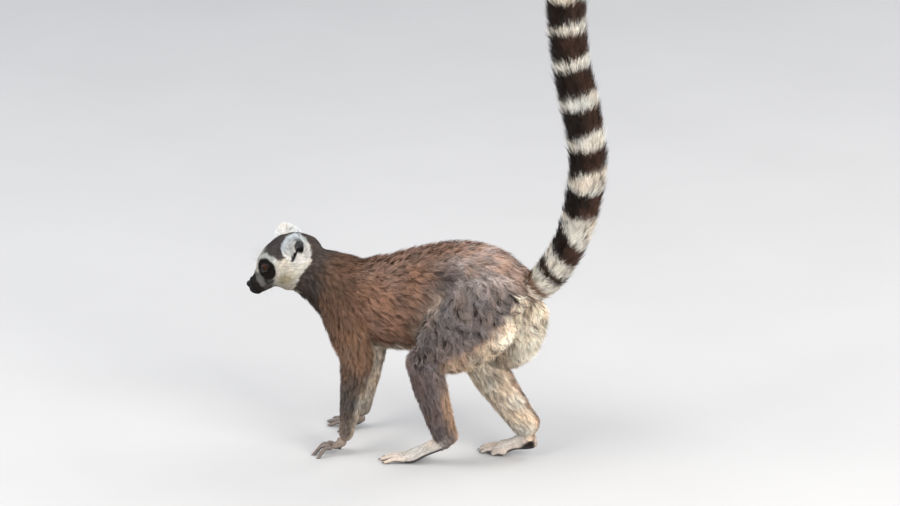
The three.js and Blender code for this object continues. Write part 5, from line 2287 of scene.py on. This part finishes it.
@dataclass
class Whiskers:
    """Long stiff hairs of the muzzle and brow."""

    build: Build
    # forward, out and up of the root, way forward, out and up, length
    rows: Rows = (
        (71, 9.5, -8, -0.35, 1.0, 0.10, 30), (68.5, 10.3, -10.5, -0.55, 1.0, -0.05, 34),
        (66, 11, -8.5, -0.7, 1.0, 0.05, 31), (64, 11.7, -12, -0.8, 1.0, -0.2, 33),
        (69.5, 9.8, -13.5, -0.45, 1.0, -0.35, 26), (73.5, 8.5, -11, -0.2, 1.0, -0.2, 22),
        (51, 9, 17.5, 0.35, 0.35, 1.0, 20), (49, 11, 18.2, 0.15, 0.55, 1.0, 22),
        (47, 13, 18.4, 0.0, 0.75, 0.9, 18),
    )  # fmt: skip
    steps: int = 8
    around: int = 3
    thickness: float = 0.16
    droop: float = 0.16
    sunk: float = 1.5

    def build_piece(self) -> Object:
        """Makes them: three-sided tapers that droop by the square of the way along.

        Returns:
            One piece.
        """
        rings, ends = [], []
        rng = np.random.default_rng(SEED + 9)
        along = np.linspace(0.0, 1.0, self.steps)[:, None, None]
        turn = (np.arange(self.around) * (2 * math.pi / self.around))[None, :, None]
        for sign in SIDES.values():
            for f, o, u, wf, wo, wu, length in self.rows:
                way = unit(np.array([wf, sign * wo, wu]) + 0.08 * rng.normal(size=3))
                way = way @ self.build.head_axes.T
                root = self.build.head_world(np.array([[f, sign * o, u]]))[0] - way * self.sunk
                side = unit(np.cross(way, [0.0, 0.0, 1.0]))
                rise = np.cross(side, way)
                line = root + way * along * length + DOWN * (self.droop * length) * along**2
                thick = self.thickness * (1 - 0.8 * along)
                rings.append(line + (side * np.cos(turn) + rise * np.sin(turn)) * thick)
                ends.append([line[0, 0], line[-1, 0]])
        finish = LeatherFinish("whisker", (0.02, 0.016, 0.014), 0.5, 200.0)
        piece = make_piece("whiskers", *tubes(rings, ends), finish.material())
        recalculate(piece)
        return piece


# ---------------- studio


@dataclass
class Studio:
    """Floor, soft lights and the camera."""

    azimuth: float = 24.0
    elevation: float = 19.0
    target: Triple = (-0.008, -0.020, 0.165)
    # the render's size, and where the target falls in it
    frame: tuple[float, float] = (900.0, 506.0)
    spot: tuple[float, float] = (420.0, 345.0)
    scale: float = 0.00135
    distance: float = 7.0
    sensor: float = 36.0
    floor_half: float = 14.0

    def build_all(self) -> None:
        """Sets up everything that isn't part of the animal."""
        self._floor()
        self._world()
        self._light("key", (-1.2, -2.2, 2.6), 1.8, 84.0, (1.0, 0.96, 0.90))
        self._light("fill", (-2.6, -0.6, 1.2), 2.4, 34.0, (0.93, 0.96, 1.0))
        self._light("rear", (2.5, -1.1, 1.5), 1.8, 98.0, (1.0, 0.96, 0.90))
        self._light("rim", (1.6, 2.2, 2.2), 1.8, 44.0, (1.0, 0.97, 0.93))
        self._camera()
        bpy.context.scene.view_settings.view_transform = "Standard"

    def _floor(self) -> None:
        """A wide pale floor, gently mottled."""
        mesh = bpy.data.meshes.new("studio_floor")
        half = self.floor_half
        corners = [(-half, -half, 0), (half, -half, 0), (half, half, 0), (-half, half, 0)]
        mesh.from_pydata(corners, [], [(0, 1, 2, 3)])
        floor = bpy.data.objects.new("studio_floor", mesh)
        bpy.context.scene.collection.objects.link(floor)
        shader = Shader("floor_paint")
        shader.drive("Base Color", shader.spread(shader.noise(3.0), 0.46, 0.48))
        shader.set(shader.surface, Roughness=0.85, Specular_IOR_Level=0.2)
        mesh.materials.append(shader.material)

    def _world(self) -> None:
        """A pale even surround."""
        world = bpy.data.worlds.new("studio")
        world.use_nodes = True
        Shader.set(world.node_tree.nodes["Background"], Color=(0.90, 0.93, 1.0, 1.0), Strength=0.85)
        bpy.context.scene.world = world

    def _light(self, name: str, at: Triple, size: float, power: float, colour: Triple) -> None:
        """A square soft light that looks at the animal.

        Args:
            name: of the light.
            at: where it stands, in metres.
            size: of its side.
            power: in watts.
            colour: linear red, green and blue.
        """
        data = bpy.data.lights.new(name, "AREA")
        data.shape, data.size, data.energy, data.color = "SQUARE", size, power, colour
        light = bpy.data.objects.new(name, data)
        light.location = at
        light.rotation_euler = (Vector((0, 0, 0.25)) - Vector(at)).to_track_quat("-Z", "Y").to_euler()
        bpy.context.scene.collection.objects.link(light)

    def _camera(self) -> None:
        """A long lens that puts the target on its spot."""
        a, e = math.radians(self.azimuth), math.radians(self.elevation)
        back = Vector((math.sin(a) * math.cos(e), -math.cos(a) * math.cos(e), math.sin(e)))
        right = Vector((math.cos(a), math.sin(a), 0.0))
        up = back.cross(right)
        dx, dy = ((spot - size / 2) * self.scale for spot, size in zip(self.spot, self.frame))
        look = Vector(self.target) - right * dx + up * dy
        data = bpy.data.cameras.new("camera")
        data.sensor_width = self.sensor
        data.lens = self.sensor * self.distance / (self.frame[0] * self.scale)
        data.clip_end = 60.0
        camera = bpy.data.objects.new("camera", data)
        matrix = Matrix((right, up, back)).transposed().to_4x4()
        matrix.translation = look + back * self.distance
        camera.matrix_world = matrix
        bpy.context.scene.collection.objects.link(camera)
        bpy.context.scene.camera = camera


# ---------------- all together


def main() -> None:
    """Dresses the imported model."""
    logging.basicConfig(level=logging.INFO, format="%(message)s")
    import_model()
    build = Build()
    chart = Chart(build)
    markings = Markings(build)
    eyes = EyeSet()
    skin = Skin(build, chart, markings, eyes)
    skin.build_piece()
    Eyeballs(build, eyes).build_pieces()
    NosePad(build).build_piece()
    Nails(build).build_piece()
    Whiskers(build).build_piece()
    coat = Coat(skin, chart, markings)
    for number, growth in enumerate(GROWTHS):
        coat.grow(growth, number)
    Studio().build_all()


if __name__ == "__main__":
    main()
